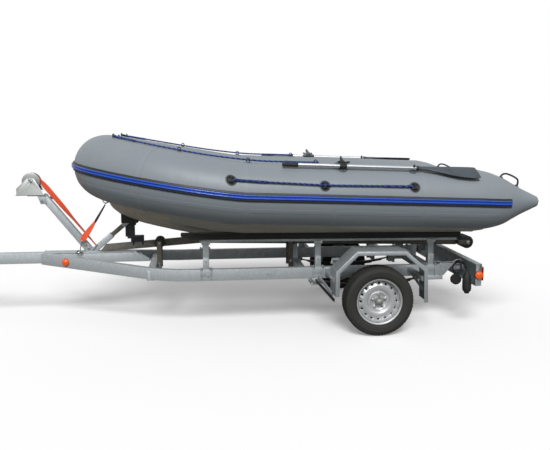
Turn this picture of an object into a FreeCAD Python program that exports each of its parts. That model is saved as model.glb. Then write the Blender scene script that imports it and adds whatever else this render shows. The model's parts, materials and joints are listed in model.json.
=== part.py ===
import FreeCAD, Part

# An inflatable boat with two tapered sterns, standing on its single-axle road trailer.
# Frame: origin on the ground midway between the coupling's nose and the stern tips, on
# the centreline; +X aft, +Y starboard, +Z up. Millimetres throughout.

import math
import os
import re

import Sketcher
from FreeCAD import Placement, Rotation, Vector

doc = FreeCAD.newDocument("BoatOnTrailer")
sheet = doc.addObject("Spreadsheet::Sheet", "Sizes")

# name, millimetres (or degrees), what it is
SIZES = [
    # boat
    ("tube_radius", 244, "side tubes, radius"),
    ("tube_y", 727, "buoyancy tube, half the spacing of the two centrelines"),
    ("tube_front_x", 350, "where the straight side tubes meet the curved bow"),
    ("tube_front_z", 1138, "height of the tube's centre there"),
    ("taper_x", 2190, "where the stern taper starts"),
    ("taper_z", 1073, "height of the tube's centre there"),
    ("stern_tip_x", 2750, "aft end of the stern cones"),
    ("bow_swell", 21, "how much fuller the tube is at the stem"),
    ("bow_reach", 1135, "how far the bow's centreline runs ahead of the side tubes"),
    ("bow_rise", 182, "how far the bow's centreline rises"),
    ("strake_height", 70, "rubbing strake, height"),
    ("strake_thick", 20, "rubbing strake, thickness"),
    ("deck_drop", 190, "underside of the air deck below the tube's centre"),
    ("deck_thick", 50, "air deck, thickness"),
    ("keel_z", 703, "lowest line of the hull fabric amidships"),
    ("transom_x", 2255, "front face of the transom"),
    ("transom_thick", 45, "transom, thickness"),
    ("transom_height", 460, "transom, keel to top edge"),
    ("seat_lift", 100, "underside of the seats above the tube's centre"),
    ("seat_thick", 24, "seat board, thickness"),
    ("seat_width", 230, "seat board, fore and aft"),
    ("oar_angle", 28, "how far outboard of the crest the oars lie on the tubes"),
    ("oar_radius", 18, "oar shaft, radius"),
    ("oar_lift", 32, "oar's centreline above the tube's skin"),
    ("lock_x", 1088, "rowlock pin"),
    ("grip_reach", 470, "rowlock pin to the end of the grip"),
    ("blade_reach", 1090, "rowlock pin to the tip of the blade"),
    ("blade_length", 500, "oar blade, length"),
    ("blade_width", 150, "oar blade, width"),
    ("lock_pin_radius", 6, "rowlock pin, radius"),
    ("rope_radius", 6, "grab line, radius"),
    # frame
    ("coupling_x", -2750, "nose of the coupling"),
    ("drawbar_front_x", -2560, "front end of the drawbar"),
    ("drawbar_rear_x", -436, "rear end of the drawbar, lower edge"),
    ("drawbar_width", 80, "drawbar, width"),
    ("drawbar_height", 90, "drawbar, height"),
    ("drawbar_z", 487, "underside of the drawbar"),
    ("wall", 4, "wall of the frame's square tubes"),
    ("rail_y", 460, "side rail, centreline from the trailer's centreline"),
    ("rail_width", 50, "side rail, width"),
    ("rail_height", 95, "side rail, height"),
    ("rail_z", 398, "underside of the side rails"),
    ("rail_rear_x", 2145, "rear end of the side rails, upper edge"),
    ("arm_front_x", -1346, "where the rails' arms meet the drawbar"),
    ("member_height", 80, "cross member, height"),
    ("member_width", 60, "cross member, width"),
    ("beam_width", 50, "keel beam, width"),
    ("beam_height", 60, "keel beam, height"),
    ("beam_front_x", -850, "front end of the keel beam"),
    ("beam_rear_x", 2345, "rear end of the keel beam"),
    ("beam_knee_z", 668, "keel beam's centre at its knee"),
    ("beam_rear_z", 610, "keel beam's centre at its rear end"),
    # rollers
    ("keel_roller_x", -352, "front keel rollers"),
    ("middle_roller_x", 800, "middle keel rollers"),
    ("keel_roller_radius", 44, "keel rollers, radius"),
    ("keel_roller_length", 45, "keel rollers, length of each"),
    ("tail_roller_x", 2433, "tail roller"),
    ("tail_roller_z", 608, "tail roller's centre"),
    ("tail_roller_radius", 58, "tail roller, radius"),
    ("tail_roller_length", 150, "tail roller, length"),
    ("axle_pin_radius", 9, "roller spindles, radius"),
    ("pin_gap", 1, "clearance of a bore round its pin"),
    # bunks
    ("bunk_y", 450, "bunk board, centreline from the trailer's centreline"),
    ("bunk_width", 100, "bunk board, width"),
    ("bunk_thick", 50, "bunk board, thickness"),
    ("bunk_front_x", -157, "bunk board, front end"),
    ("bunk_rear_x", 2199, "bunk board, rear end"),
    ("bunk_front_z", 793, "bunk board, top at its front end"),
    ("bunk_rear_z", 773, "bunk board, top at its rear end"),
    # winch post and bow support
    ("post_width", 60, "winch post, width"),
    ("post_base_x", -945, "winch post, centre of its foot"),
    ("post_top_x", -1332, "winch post, centre of its head"),
    ("winch_plate_z", 1075, "underside of the winch's base plate"),
    ("winch_x", -1419, "winch drum's centre"),
    ("winch_z", 1193, "winch drum's centre"),
    ("winch_radius", 75, "winch drum's flanges, radius"),
    ("winch_inside", 82, "winch frame, width inside its cheeks"),
    ("cheek_thick", 4, "winch frame, thickness"),
    ("crank_length", 200, "winch crank, shaft to grip"),
    ("strap_width", 45, "winch strap, width"),
    ("support_x", -606, "bow support post's centre"),
    ("support_width", 78, "bow support post, fore and aft"),
    ("support_top_z", 833, "bow support post, top"),
    # running gear
    ("axle_x", 1405, "axle"),
    ("tyre_radius", 280, "tyre, radius under load"),
    ("tyre_width", 164, "tyre, width"),
    ("rim_radius", 185, "wheel rim's lip, radius"),
    ("rim_width", 140, "wheel rim, width over its lips"),
    ("wheel_y", 800, "wheel's middle plane"),
    ("axle_side", 50, "axle beam, side of its square"),
    ("spindle_radius", 17, "stub axle, radius"),
    ("hub_bore_gap", 1, "clearance of the hub round the stub axle"),
    ("spring_half", 480, "leaf spring, half its length"),
    ("spring_width", 50, "leaf spring, width"),
    ("guard_width", 215, "mudguard, width"),
    ("guard_outer_y", 930, "mudguard's outer edge"),
    ("guard_sheet", 3, "mudguard, sheet thickness"),
    ("guard_lip", 32, "mudguard, depth of its outer lip"),
    # rear
    ("board_x", 2216, "light board, front face"),
    ("board_depth", 50, "light board, fore and aft"),
    ("board_drop", 26, "light board, lower edge below the side rails"),
    ("board_height", 182, "light board, height"),
    ("board_half", 800, "light board, half its length"),
    ("marker_radius", 33, "round marker lamps, radius"),
    # jockey wheel
    ("jockey_x", -2180, "jockey wheel's column"),
    ("jockey_y", 84, "jockey wheel's column from the trailer's centreline"),
    ("jockey_tube", 26, "jockey column, outer tube, radius"),
    ("jockey_leg", 21, "jockey column, inner tube, radius"),
    ("jockey_radius", 100, "jockey wheel, radius"),
    ("jockey_width", 60, "jockey wheel, width"),
    ("ball_radius", 25.3, "coupling's socket, radius"),
]

for row, (name, number, note) in enumerate(SIZES, start=1):
    sheet.set(f"A{row}", name)
    sheet.set(f"B{row}", str(number))
    sheet.set(f"C{row}", note)
    sheet.setAlias(f"B{row}", name)
doc.recompute()

NAMES = {name for name, number, note in SIZES}
nodes = {}


def bound(text):
    """Writes Sizes.name for each named size in an expression."""
    return re.sub(r"[a-z]\w+", lambda m: ("Sizes." if m[0] in NAMES else "") + m[0], str(text))


def number(text):
    """The value of an expression in the named sizes."""
    return float(sheet.evalExpression(bound(text)))


def bind(thing, **sizes):
    for prop, text in sizes.items():
        thing.setExpression(prop, bound(text))


def place(thing, x, y, z, turn=None):
    """Puts a piece at a point given by three expressions, turned first if asked."""
    if turn is not None:
        thing.Placement = Placement(Vector(), turn)
    for letter, text in zip("xyz", (x, y, z)):
        thing.setExpression("Placement.Base." + letter, bound(text))


ALONG = {
    "X": Rotation(Vector(0, 0, 1), Vector(1, 0, 0)),
    "Y": Rotation(Vector(1, 0, 0), -90),
    "Z": Rotation(),
}


def box(name, length, width, height, x, y, z, turn=None):
    thing = doc.addObject("Part::Box", name)
    bind(thing, Length=length, Width=width, Height=height)
    place(thing, x, y, z, turn)
    return thing


def rod(name, radius, length, x, y, z, along="Y"):
    """A round bar that starts at a point and runs along an axis."""
    thing = doc.addObject("Part::Cylinder", name)
    bind(thing, Radius=radius, Height=length)
    place(thing, x, y, z, ALONG[along])
    return thing


def solid(name, shape):
    thing = doc.addObject("Part::Feature", name)
    thing.Shape = shape
    return thing


def fuse(name, pieces):
    thing = doc.addObject("Part::MultiFuse", name)
    thing.Shapes = pieces
    return thing


def cut(name, base, tools):
    tool = tools[0] if len(tools) == 1 else fuse(name + "_tools", tools)
    thing = doc.addObject("Part::Cut", name)
    thing.Base = base
    thing.Tool = tool
    return thing


def group(name, pieces):
    """Like pieces that don't touch, kept in one node."""
    thing = doc.addObject("Part::Compound", name)
    thing.Links = pieces
    return thing


def mirrored(name, source):
    """The same piece on the other side of the centreline."""
    thing = doc.addObject("Part::Mirroring", name)
    thing.Source = source
    thing.Normal = Vector(0, 1, 0)
    return thing


def node(name, thing):
    thing.Label = name
    nodes[name] = thing
    return thing


def outline(name, plane, points):
    """A body with one closed sketch; each corner's two coordinates are bound to the sheet."""
    body = doc.addObject("PartDesign::Body", name)
    sketch = body.newObject("Sketcher::SketchObject", name + "_outline")
    sketch.AttachmentSupport = [(next(f for f in body.Origin.OriginFeatures if f.Role == plane), "")]
    sketch.MapMode = "FlatFace"
    corners = [Vector(number(a), number(b), 0) for a, b in points]
    count = len(corners)
    for i, corner in enumerate(corners):
        sketch.addGeometry(Part.LineSegment(corner, corners[(i + 1) % count]), False)
    for i in range(count):
        sketch.addConstraint(Sketcher.Constraint("Coincident", i, 2, (i + 1) % count, 1))
    for i, (corner, texts) in enumerate(zip(corners, points)):
        ways = (("DistanceX", corner.x, texts[0], -2), ("DistanceY", corner.y, texts[1], -1))
        for kind, value, text, axis in ways:
            if str(text) == "0":
                sketch.addConstraint(Sketcher.Constraint("PointOnObject", i, 1, axis))
                continue
            index = sketch.addConstraint(Sketcher.Constraint(kind, -1, 1, i, 1, value))
            sketch.setExpression(f"Constraints[{index}]", bound(text))
    return body, sketch


def slab(name, plane, points, length, offset="0"):
    """An outline in XZ or YZ, padded evenly both sides of its plane and moved across it."""
    body, sketch = outline(name, plane, points)
    pad = body.newObject("PartDesign::Pad", name + "_pad")
    pad.Profile = sketch
    pad.Midplane = True
    bind(pad, Length=length)
    if plane == "XZ_Plane":
        place(body, "0", offset, "0")
    elif plane == "YZ_Plane":
        place(body, offset, "0", "0")
    else:
        place(body, "0", "0", offset)
    return body


def turned(name, points, x, y, z):
    """An outline in YZ, turned round an axis parallel to Y and moved to its place."""
    body, sketch = outline(name, "YZ_Plane", points)
    spin = body.newObject("PartDesign::Revolution", name + "_turn")
    spin.Profile = sketch
    spin.ReferenceAxis = (sketch, ["H_Axis"])
    spin.Angle = 360
    place(body, x, y, z)
    return body


def ruled(wires):
    return Part.makeLoft(wires, True, True)


def ring_wire(centre, normal, radius):
    return Part.Wire([Part.makeCircle(radius, centre, normal)])


def quad_wire(centre, heading, width, height, lean=0.0):
    """A rectangle with upright sides, facing along a heading in plan; its foot may lean back."""
    across = Vector(-math.sin(heading), math.cos(heading), 0) * (width / 2)
    up = Vector(0, 0, height / 2)
    back = Vector(lean, 0, 0)
    corners = [centre - across - up - back, centre + across - up - back]
    corners += [centre + across + up, centre - across + up]
    return Part.makePolygon(corners + corners[:1])


def bar(start, end, width, thick, across):
    """A straight flat bar between two points, its width along the given direction."""
    run = end - start
    side = across.normalize() * (width / 2)
    face = run.cross(side).normalize() * (thick / 2)
    corners = [start - side - face, start + side - face]
    corners += [start + side + face, start - side + face]
    return Part.Face(Part.makePolygon(corners + corners[:1])).extrude(run)


# ---------------------------------------------------------------- buoyancy tube

tube_radius = number("tube_radius")
tube_y = number("tube_y")
tube_front_x = number("tube_front_x")


def tube_height(x):
    """Height of the straight tube's centre at a station."""
    run = number("taper_x - tube_front_x")
    return number("tube_front_z") + number("taper_z - tube_front_z") * (x - tube_front_x) / run


def bow_centre(angle):
    """The bow's centreline: 0 degrees at the starboard side tube, 90 at the stem, 180 to port."""
    s = math.sin(math.radians(angle))
    c = math.cos(math.radians(angle))
    height = number("tube_front_z") + number("bow_rise") * max(s, 0) ** 1.15
    return Vector(tube_front_x - number("bow_reach") * s, tube_y * c, height)


def bow_girth(angle):
    """The tube's radius round the bow, fullest at the stem."""
    return tube_radius + number("bow_swell") * max(math.sin(math.radians(angle)), 0)


def bow_angle(x):
    """Where round the bow its starboard half passes a station."""
    return math.degrees(math.asin((tube_front_x - x) / number("bow_reach")))


def tube_centre(x):
    """Centre of the starboard tube at a station, on the straight or round the bow."""
    if x >= tube_front_x:
        return Vector(x, tube_y, tube_height(x))
    return bow_centre(bow_angle(x))


def tube_girth(x):
    """Radius of the tube at a station ahead of the stern's taper."""
    return tube_radius if x >= tube_front_x else bow_girth(bow_angle(x))


def bow_heading(angle):
    step = 0.5
    return (bow_centre(angle + step) - bow_centre(angle - step)).normalize()


BOW_ANGLES = [0, 10, 20, 30, 40, 50, 60, 70, 80, 90, 100, 110, 120, 130, 140, 150, 160, 170, 180]
bow_sections = []
for angle in BOW_ANGLES:
    heading = bow_heading(angle)
    if angle in (0, 180):
        heading = Vector(-1 if angle == 0 else 1, 0, 0)
    bow_sections.append((bow_centre(angle), heading, bow_girth(angle)))

bow_tube = node("bow_tube", solid("bow_tube", ruled([ring_wire(*section) for section in bow_sections])))

# the stern's taper: aft of the taper's start as a share of its length, share of the radius, rise
TAPER = [(0.0, 1.0, 0), (0.2, 0.935, -8), (0.41, 0.79, -16), (0.94, 0.17, -22), (1.0, 0.09, -22)]
stern_sections = []
taper_length = number("stern_tip_x - taper_x")
for share, fullness, rise in TAPER:
    centre = Vector(number("taper_x") + share * taper_length, tube_y, number("taper_z") + rise)
    stern_sections.append((centre, fullness * tube_radius))
front = Vector(tube_front_x, tube_y, number("tube_front_z"))
side_wires = [ring_wire(c, Vector(1, 0, 0), r) for c, r in [(front, tube_radius)] + stern_sections]
starboard_tube = node("starboard_tube", solid("starboard_tube", ruled(side_wires)))
port_tube = node("port_tube", mirrored("port_tube", starboard_tube))
tubes = [bow_tube, port_tube, starboard_tube]

# rubbing strake: a flat band on the widest line of the tube, from one stern round the bow to the other;
# on the bow it clears the bow's flat facets, and its ends run straight on past the start of the taper
FACET_CLEARANCE = 1.2
strake_wires = []
half_thick = number("strake_thick / 2")
strake_end = Vector(number("taper_x + 250"), tube_y, number("taper_z - 11"))
strake_path = [(strake_end, Vector(-1, 0, 0), 0.92 * tube_radius + half_thick)]
strake_path += [(stern_sections[0][0], Vector(-1, 0, 0), tube_radius + half_thick)]
strake_path += [(c, h, r + half_thick + FACET_CLEARANCE) for c, h, r in bow_sections]
strake_path += [(Vector(c.x, -c.y, c.z), Vector(1, 0, 0), r) for c, h, r in reversed(strake_path[:2])]
for centre, heading, offset in strake_path:
    flat = Vector(heading.x, heading.y, 0).normalize()
    outward = Vector(-flat.y, flat.x, 0) * -1
    angle = math.atan2(flat.y, flat.x)
    middle = centre + outward * offset
    strake_wires.append(quad_wire(middle, angle, number("strake_thick"), number("strake_height")))
rubbing_strake = node("rubbing_strake", solid("rubbing_strake", ruled(strake_wires)))

# ---------------------------------------------------------------- hull, deck, transom, seats

def bunk_top(x):
    """Top of the bunk boards at a station; the hull's fabric lies flat on them."""
    run = number("bunk_rear_x - bunk_front_x")
    return number("bunk_front_z") + number("bunk_rear_z - bunk_front_z") * (x - number("bunk_front_x")) / run


def hull_corners(x, keel, on_bunk):
    """Half of the hull's section: keel, where it leaves the bunk's two edges, and under the tube."""
    under_tube = tube_centre(x) - Vector(0, 0, tube_girth(x) - 2)
    corners = [Vector(x, 0, keel)]
    for y in (number("bunk_y - bunk_width / 2"), number("bunk_y + bunk_width / 2")):
        if on_bunk:
            corners.append(Vector(x, y, bunk_top(x)))
        else:
            share = y / number("bunk_y + 2 * bunk_width")
            corners.append(corners[0] + (under_tube - corners[0]) * share)
    return corners + [under_tube]


def deck_seat(x):
    """Underside of the air deck at a station, straight between the hull's own stations."""
    stations = [row[0] for row in HULL]
    fore = max([s for s in stations[:-1] if s <= x] + stations[:1])
    aft = stations[stations.index(fore) + 1]
    low, high = (tube_centre(s).z - number("deck_drop") for s in (fore, aft))
    return low + (high - low) * (x - fore) / (aft - fore)


# station, height of the keel above keel_z, whether the fabric rests on the bunks
TRANSOM_AFT = number("transom_x + transom_thick")
HULL = [
    (-735, 232, False),
    (-660, 189, False),
    (-500, 125, False),
    (-320, 77, False),
    (-80, 24, False),
    (350, 2, True),
    (TRANSOM_AFT, -8, True),
]
hull_wires = []
for x, keel_rise, on_bunk in HULL:
    half = hull_corners(x, number("keel_z") + keel_rise, on_bunk)
    half.append(Vector(x, half[-1].y, deck_seat(x)))
    corners = half + [Vector(c.x, -c.y, c.z) for c in reversed(half[1:])]
    hull_wires.append(Part.makePolygon(corners + corners[:1]))
hull_blank = solid("hull_blank", ruled(hull_wires))
# behind the transom's front face the hull stops
transom_space = box("transom_space", "200", "2 * tube_y", "1000", "transom_x", "-tube_y", "300")
hull_bottom = node("hull_bottom", cut("hull_bottom", hull_blank, tubes + [transom_space]))

# air deck, pressed between the tubes: station, share of its half width
DECK = [(-420, 0.32), (-320, 0.58), (-80, 0.88), (350, 1.0), (number("transom_x"), 1.0)]
deck_half = number("tube_y - sqrt(tube_radius ^ 2 - (deck_drop - deck_thick) ^ 2) + 4")
deck_wires = []
for x, share in DECK:
    centre = Vector(x, 0, deck_seat(x) + number("deck_thick / 2"))
    deck_wires.append(quad_wire(centre, 0.0, 2 * share * deck_half, number("deck_thick")))
deck_blank = solid("deck_blank", ruled(deck_wires))
floor_deck = node("floor_deck", cut("floor_deck", deck_blank, tubes))

transom_blank = slab(
    "transom_blank", "YZ_Plane",
    [("0", "keel_z - 8"),
     ("bunk_y - bunk_width / 2", "bunk_rear_z"), ("bunk_y + bunk_width / 2", "bunk_rear_z"),
     ("tube_y - 100", "bunk_rear_z + 50"), ("tube_y - 100", "keel_z + transom_height + 75"),
     ("280", "keel_z + transom_height + 60"), ("230", "keel_z + transom_height"),
     ("-230", "keel_z + transom_height"), ("-280", "keel_z + transom_height + 60"),
     ("100 - tube_y", "keel_z + transom_height + 75"), ("100 - tube_y", "bunk_rear_z + 50"),
     ("-bunk_y - bunk_width / 2", "bunk_rear_z"), ("bunk_width / 2 - bunk_y", "bunk_rear_z")],
    "transom_thick", "transom_x + transom_thick / 2")
transom = node("transom", cut("transom", transom_blank, [port_tube, starboard_tube]))

pad_aft = box("pad_aft", "10", "340", "250",
              "transom_x + transom_thick", "-170", "keel_z + transom_height - 260")
pad_fore = box("pad_fore", "8", "300", "130",
               "transom_x - 8", "-150", "keel_z + transom_height - 140")
motor_pads = node("motor_pads", group("motor_pads", [pad_aft, pad_fore]))

seats = []
for name, x in (("front_seat", 700), ("rear_seat", 1560)):
    rise = tube_height(x) + number("seat_lift")
    blank = box(name + "_blank", "seat_width", "2 * tube_y - tube_radius", "seat_thick",
                x, "tube_radius / 2 - tube_y", rise)
    seats.append(cut(name, blank, [port_tube, starboard_tube]))
node("seats", group("seats", seats))

# ---------------------------------------------------------------- oars and their fittings

oar_turn = math.radians(number("oar_angle"))
lock_x = number("lock_x")
tube_slope = math.atan2(number("taper_z - tube_front_z"), number("taper_x - tube_front_x"))
outward = Vector(0, math.sin(oar_turn), math.cos(oar_turn))
tube_along = Vector(math.cos(tube_slope), 0, math.sin(tube_slope))
oar_normal = (outward - tube_along * outward.dot(tube_along)).normalize()
oar_side = oar_normal.cross(tube_along)
skin = Vector(lock_x, tube_y, tube_height(lock_x)) + oar_normal * tube_radius


def oar_point(along, lift, side=0.0):
    """A point in the starboard oar's own frame: along the shaft, off the skin, and outboard."""
    return skin + tube_along * along + oar_normal * lift + oar_side * side


def disc(centre, axis, radius, thick):
    return Part.makeCylinder(radius, thick, centre, axis)


def crosswise(radius, length, x, y, z):
    """A round bar that runs to starboard from a point."""
    return Part.makeCylinder(radius, length, Vector(x, y, z), Vector(0, 1, 0))


lift = number("oar_lift")
oar_radius = number("oar_radius")
collar_radius = 24
grip_start = number("grip_reach")
blade_tip = number("blade_reach")
neck = blade_tip - number("blade_length")
pin_radius = number("lock_pin_radius")
shaft = disc(oar_point(-grip_start, lift), tube_along, oar_radius, grip_start + neck + 30)
grip = disc(oar_point(-grip_start, lift), tube_along, oar_radius + 3, 120)
collar = disc(oar_point(-30, lift), tube_along, collar_radius, 60)
bore = disc(oar_point(0, lift - 40), oar_normal, pin_radius + number("pin_gap"), 80)
shaft = shaft.fuse([grip, collar]).cut(bore)
starboard_shaft = node("starboard_oar_shaft", solid("starboard_oar_shaft", shaft))
node("port_oar_shaft", mirrored("port_oar_shaft", starboard_shaft))

# blade: share of its length, half width, half thickness
BLADE = [(0.06, 20, 17), (0.25, 46, 10), (0.5, 70, 6), (0.85, 75, 4), (1.0, 62, 3)]
blade_wires = []
for share, half, thick in BLADE:
    at = neck + 32 + share * (number("blade_length") - 32)
    half = half * number("blade_width") / 150
    section = ((-half, -thick), (half, -thick), (half, thick), (-half, thick))
    corners = [oar_point(at, lift + b, a) for a, b in section]
    blade_wires.append(Part.makePolygon(corners + corners[:1]))
socket = disc(oar_point(neck + 30, lift), tube_along, oar_radius + 4, 50)
blade = socket.fuse(ruled(blade_wires))
starboard_blade = node("starboard_oar_blade", solid("starboard_oar_blade", blade))
node("port_oar_blade", mirrored("port_oar_blade", starboard_blade))

# rowlock: a moulded foot on the tube, its pin through the collar and a knob on top
foot = disc(oar_point(0, -8), oar_normal, 36, 9)
pin = disc(oar_point(0, 0), oar_normal, pin_radius, lift + collar_radius + 16)
knob = disc(oar_point(0, lift + collar_radius + 5), oar_normal, 17, 14)
# open clip that holds the shaft near the blade, its mouth outboard
clip_at = 555
clip_foot = disc(oar_point(clip_at, -8), oar_normal, 30, 14)
clip_ring = disc(oar_point(clip_at - 15, lift), tube_along, oar_radius + 10, 30)
clip_hole = disc(oar_point(clip_at - 16, lift), tube_along, oar_radius + 5, 32)
mouth = bar(oar_point(clip_at, lift, 0), oar_point(clip_at, lift, 80), 60, 2 * (oar_radius + 3.5),
            Vector(tube_along))
rowlock = foot.fuse([pin, knob])
clip = clip_foot.fuse(clip_ring).cut(clip_hole).cut(mouth)
fittings = []
for name, shape in (("rowlock", rowlock), ("clip", clip)):
    blank = solid(name + "_blank", shape)
    fitting = cut(name + "_starboard", blank, [starboard_tube])
    fittings += [fitting, mirrored(name + "_port", fitting)]
node("oar_fittings", group("oar_fittings", fittings))

# ---------------------------------------------------------------- lines, patches, handles

rope = number("rope_radius")


def on_tube(x, angle, lift_off):
    """A point on the starboard side tube: station, degrees from the crest outboard, off the skin."""
    a = math.radians(angle)
    return tube_centre(x) + Vector(0, math.sin(a), math.cos(a)) * (tube_girth(x) + lift_off)


def cord(points, radius):
    """Straight runs joined by arcs of 0.45 of the shorter run."""
    edges = []
    last = points[0]
    for before, at, after in zip(points, points[1:], points[2:]):
        into = (at - before).normalize()
        out = (after - at).normalize()
        turn = into.getAngle(out)
        back = 0.45 * min((at - before).Length, (after - at).Length)
        if turn < 0.002:
            continue
        start = at - into * back
        end = at + out * back
        bisector = (out - into).normalize()
        radius_here = back / math.tan(turn / 2)
        centre = at + bisector * (radius_here / math.cos(turn / 2))
        middle = centre - bisector * radius_here
        edges += [Part.LineSegment(last, start).toShape(), Part.Arc(start, middle, end).toShape()]
        last = end
    edges.append(Part.LineSegment(last, points[-1]).toShape())
    path = Part.Wire(edges)
    ring = ring_wire(points[0], points[1] - points[0], radius)
    return path.makePipeShell([ring], True, False)


# side line: station, degrees from the crest; it hangs a little between the three patches
SIDE_LINE = [
    (258, 63.2), (500, 64.2), (720, 65.2), (915, 66.5),
    (965, 66.6), (1200, 65.9), (1420, 65.3), (1612, 64.9),
]
side_line = cord([on_tube(x, a, 16) for x, a in SIDE_LINE], rope)
# crest line: from the ring on the bow along the crest to its knot
crest_angles = [114, 123, 132, 142, 153, 166]
crest = []
for angle in crest_angles:
    centre = bow_centre(angle)
    crest.append(Vector(centre.x, -centre.y, centre.z + bow_girth(angle) + 14))
crest += [on_tube(x, 0, 14) for x in (430, 660, 928)]
crest_line = cord(crest, rope)
lines = solid("starboard_lines", Part.makeCompound([side_line, crest_line]))
node("starboard_grab_line", lines)
node("port_grab_line", mirrored("port_grab_line", lines))

# patches that hold the lines: station, degrees from the crest, radius
PATCHES = [
    (235, 63, 44), (940, 66.7, 44), (1637, 64.8, 44),
    (-150, 0, 30), (377, 0, 30), (905, 0, 30),
]
patches = []
for i, (x, angle, radius) in enumerate(PATCHES):
    axis = on_tube(x, angle, 1) - on_tube(x, angle, 0)
    blank = solid(f"patch_blank_{i}", disc(on_tube(x, angle, -14), axis, radius, 26))
    patch = cut(f"patch_{i}", blank, [starboard_tube, bow_tube, lines])
    patches += [patch, mirrored(f"patch_port_{i}", patch)]
node("line_patches", group("line_patches", patches))



def stern_crest(x):
    """Height of the stern cone's upper line at a station."""
    share = (x - number("taper_x")) / taper_length
    for (s0, f0, r0), (s1, f1, r1) in zip(TAPER, TAPER[1:]):
        if s0 <= share <= s1:
            part = (share - s0) / (s1 - s0)
            return number("taper_z") + r0 + (r1 - r0) * part + (f0 + (f1 - f0) * part) * tube_radius
    raise ValueError(f"no stern at {x}")


# lifting handles on the stern cones: a round loop between two feet
HANDLE_FEET = [number("taper_x") + d for d in (232, 366)]
start, end = (Vector(x, tube_y, stern_crest(x)) for x in HANDLE_FEET)
middle = (start + end) * 0.5 + Vector(18, 0, 52)
loop = Part.Wire([Part.Arc(start, middle, end).toShape()])
first = loop.Edges[0].tangentAt(loop.Edges[0].FirstParameter)
loop_solid = loop.makePipeShell([ring_wire(start, first, 8)], True, False)
handle_blank = solid("handle_blank", loop_solid)
starboard_handle = cut("handle_starboard", handle_blank, [starboard_tube])
node("stern_handles", group("stern_handles", [starboard_handle, mirrored("handle_port", starboard_handle)]))

# towing ring under the bow
stem_z = number("tube_front_z + bow_rise - tube_radius - bow_swell")
stem_x = tube_front_x - number("bow_reach")
ring = Part.makeTorus(26, 4, Vector(stem_x - 20, 0, stem_z - 30), Vector(0, 1, 0))
lug = Part.makeBox(24, 40, 12, Vector(stem_x - 32, -20, stem_z - 10))
ring_blank = solid("ring_blank", ring.fuse(lug))
bow_ring = node("bow_tow_ring", cut("bow_tow_ring", ring_blank, [bow_tube]))

# ---------------------------------------------------------------- trailer frame

half_drawbar = number("drawbar_width / 2")
drawbar_slope = 124
drawbar_top = "drawbar_z + drawbar_height"
outer = slab("drawbar_outer", "XZ_Plane",
             [("drawbar_front_x", "drawbar_z"), ("drawbar_rear_x", "drawbar_z"),
              (f"drawbar_rear_x - {drawbar_slope}", drawbar_top), ("drawbar_front_x", drawbar_top)],
             "drawbar_width")
inner = slab("drawbar_inner", "XZ_Plane",
             [("drawbar_front_x - 10", "drawbar_z + wall"), ("drawbar_rear_x + 30", "drawbar_z + wall"),
              ("drawbar_rear_x + 30", drawbar_top + " - wall"),
              ("drawbar_front_x - 10", drawbar_top + " - wall")],
             "drawbar_width - 2 * wall")
drawbar = node("drawbar", cut("drawbar", outer, [inner]))

# side rail with its arm: station, distance out, height of centre, heading in plan (starboard side)
rail_y = number("rail_y")
rail_mid = number("rail_z + rail_height / 2")
arm_x = number("arm_front_x")
drawbar_mid = number("drawbar_z + drawbar_height / 2")
# station, share of the way out from the drawbar, share of the way down from it, heading
BEND = [
    (arm_x, 0, 0, 21), (-620, 0.70, 0.65, 21), (-470, 0.838, 0.80, 17),
    (-330, 0.931, 0.925, 11), (-190, 0.983, 1, 5), (-60, 1, 1, 0),
]
arm_out = half_drawbar + 12
RAIL = []
for x, out, down, heading in BEND:
    at_y = arm_out + out * (rail_y - arm_out)
    RAIL.append((x, at_y, drawbar_mid + down * (rail_mid - drawbar_mid), heading))
rail_end = (number("rail_rear_x"), rail_y, rail_mid, 0)


def rail_loft(width, height):
    wires = [quad_wire(Vector(x, y, z), math.radians(h), width, height) for x, y, z, h in RAIL]
    x, y, z, h = rail_end
    wires.append(quad_wire(Vector(x, y, z), 0.0, width, height, lean=80 * height / number("rail_height")))
    return ruled(wires)


rail_outer = solid("rail_outer", rail_loft(number("rail_width"), number("rail_height")))
rail_inner = solid("rail_inner", rail_loft(number("rail_width - 2 * wall"), number("rail_height - 2 * wall")))
rail_outer_port = mirrored("rail_outer_port", rail_outer)
starboard_rail = node("starboard_side_rail", cut("starboard_side_rail", rail_outer, [rail_inner, outer]))
node("port_side_rail", mirrored("port_side_rail", starboard_rail))

beam_front_z = number("drawbar_z + drawbar_height + beam_height / 2")
beam_knee = number("beam_knee_z")
beam_height = number("beam_height")


def beam_centre(x):
    """Height of the keel beam's centre at a station: it climbs to its knee at X 0, then falls gently."""
    if x < 0:
        return beam_knee + (beam_front_z - beam_knee) * x / number("beam_front_x")
    return beam_knee + (number("beam_rear_z") - beam_knee) * x / number("beam_rear_x")


beam_blank = slab(
    "keel_beam_blank", "XZ_Plane",
    [("beam_front_x - 20", drawbar_top), ("beam_front_x", drawbar_top),
     ("0", "beam_knee_z - beam_height / 2"),
     ("beam_rear_x", "beam_rear_z - beam_height / 2"), ("beam_rear_x", "beam_rear_z + beam_height / 2"),
     ("0", "beam_knee_z + beam_height / 2"), ("beam_front_x + 30", drawbar_top + " + beam_height")],
    "beam_width")

# cross members between the rails; the last two carry the keel beam on short posts
MIDDLE_MEMBER_X = 820
MEMBERS = [
    ("front", number("drawbar_rear_x"), False),
    ("middle", MIDDLE_MEMBER_X, True),
    ("rear", 1920, True),
]
member_top = number("rail_z + 4 + member_height")
members = []
for name, x, with_post in MEMBERS:
    member = box(f"member_{name}", "member_width", "2 * rail_y - rail_width", "member_height",
                 x, "rail_width / 2 - rail_y", "rail_z + 4")
    if with_post:
        under = beam_centre(x + 50) - beam_height / 2
        post = box(f"beam_post_{name}", "40", "beam_width", under - member_top,
                   x + 10, "-beam_width / 2", member_top)
        member = fuse(f"member_with_post_{name}", [member, post])
    members.append(cut(f"member_fitted_{name}", member, [rail_outer, rail_outer_port]))
node("cross_members", group("cross_members", members))

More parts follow.
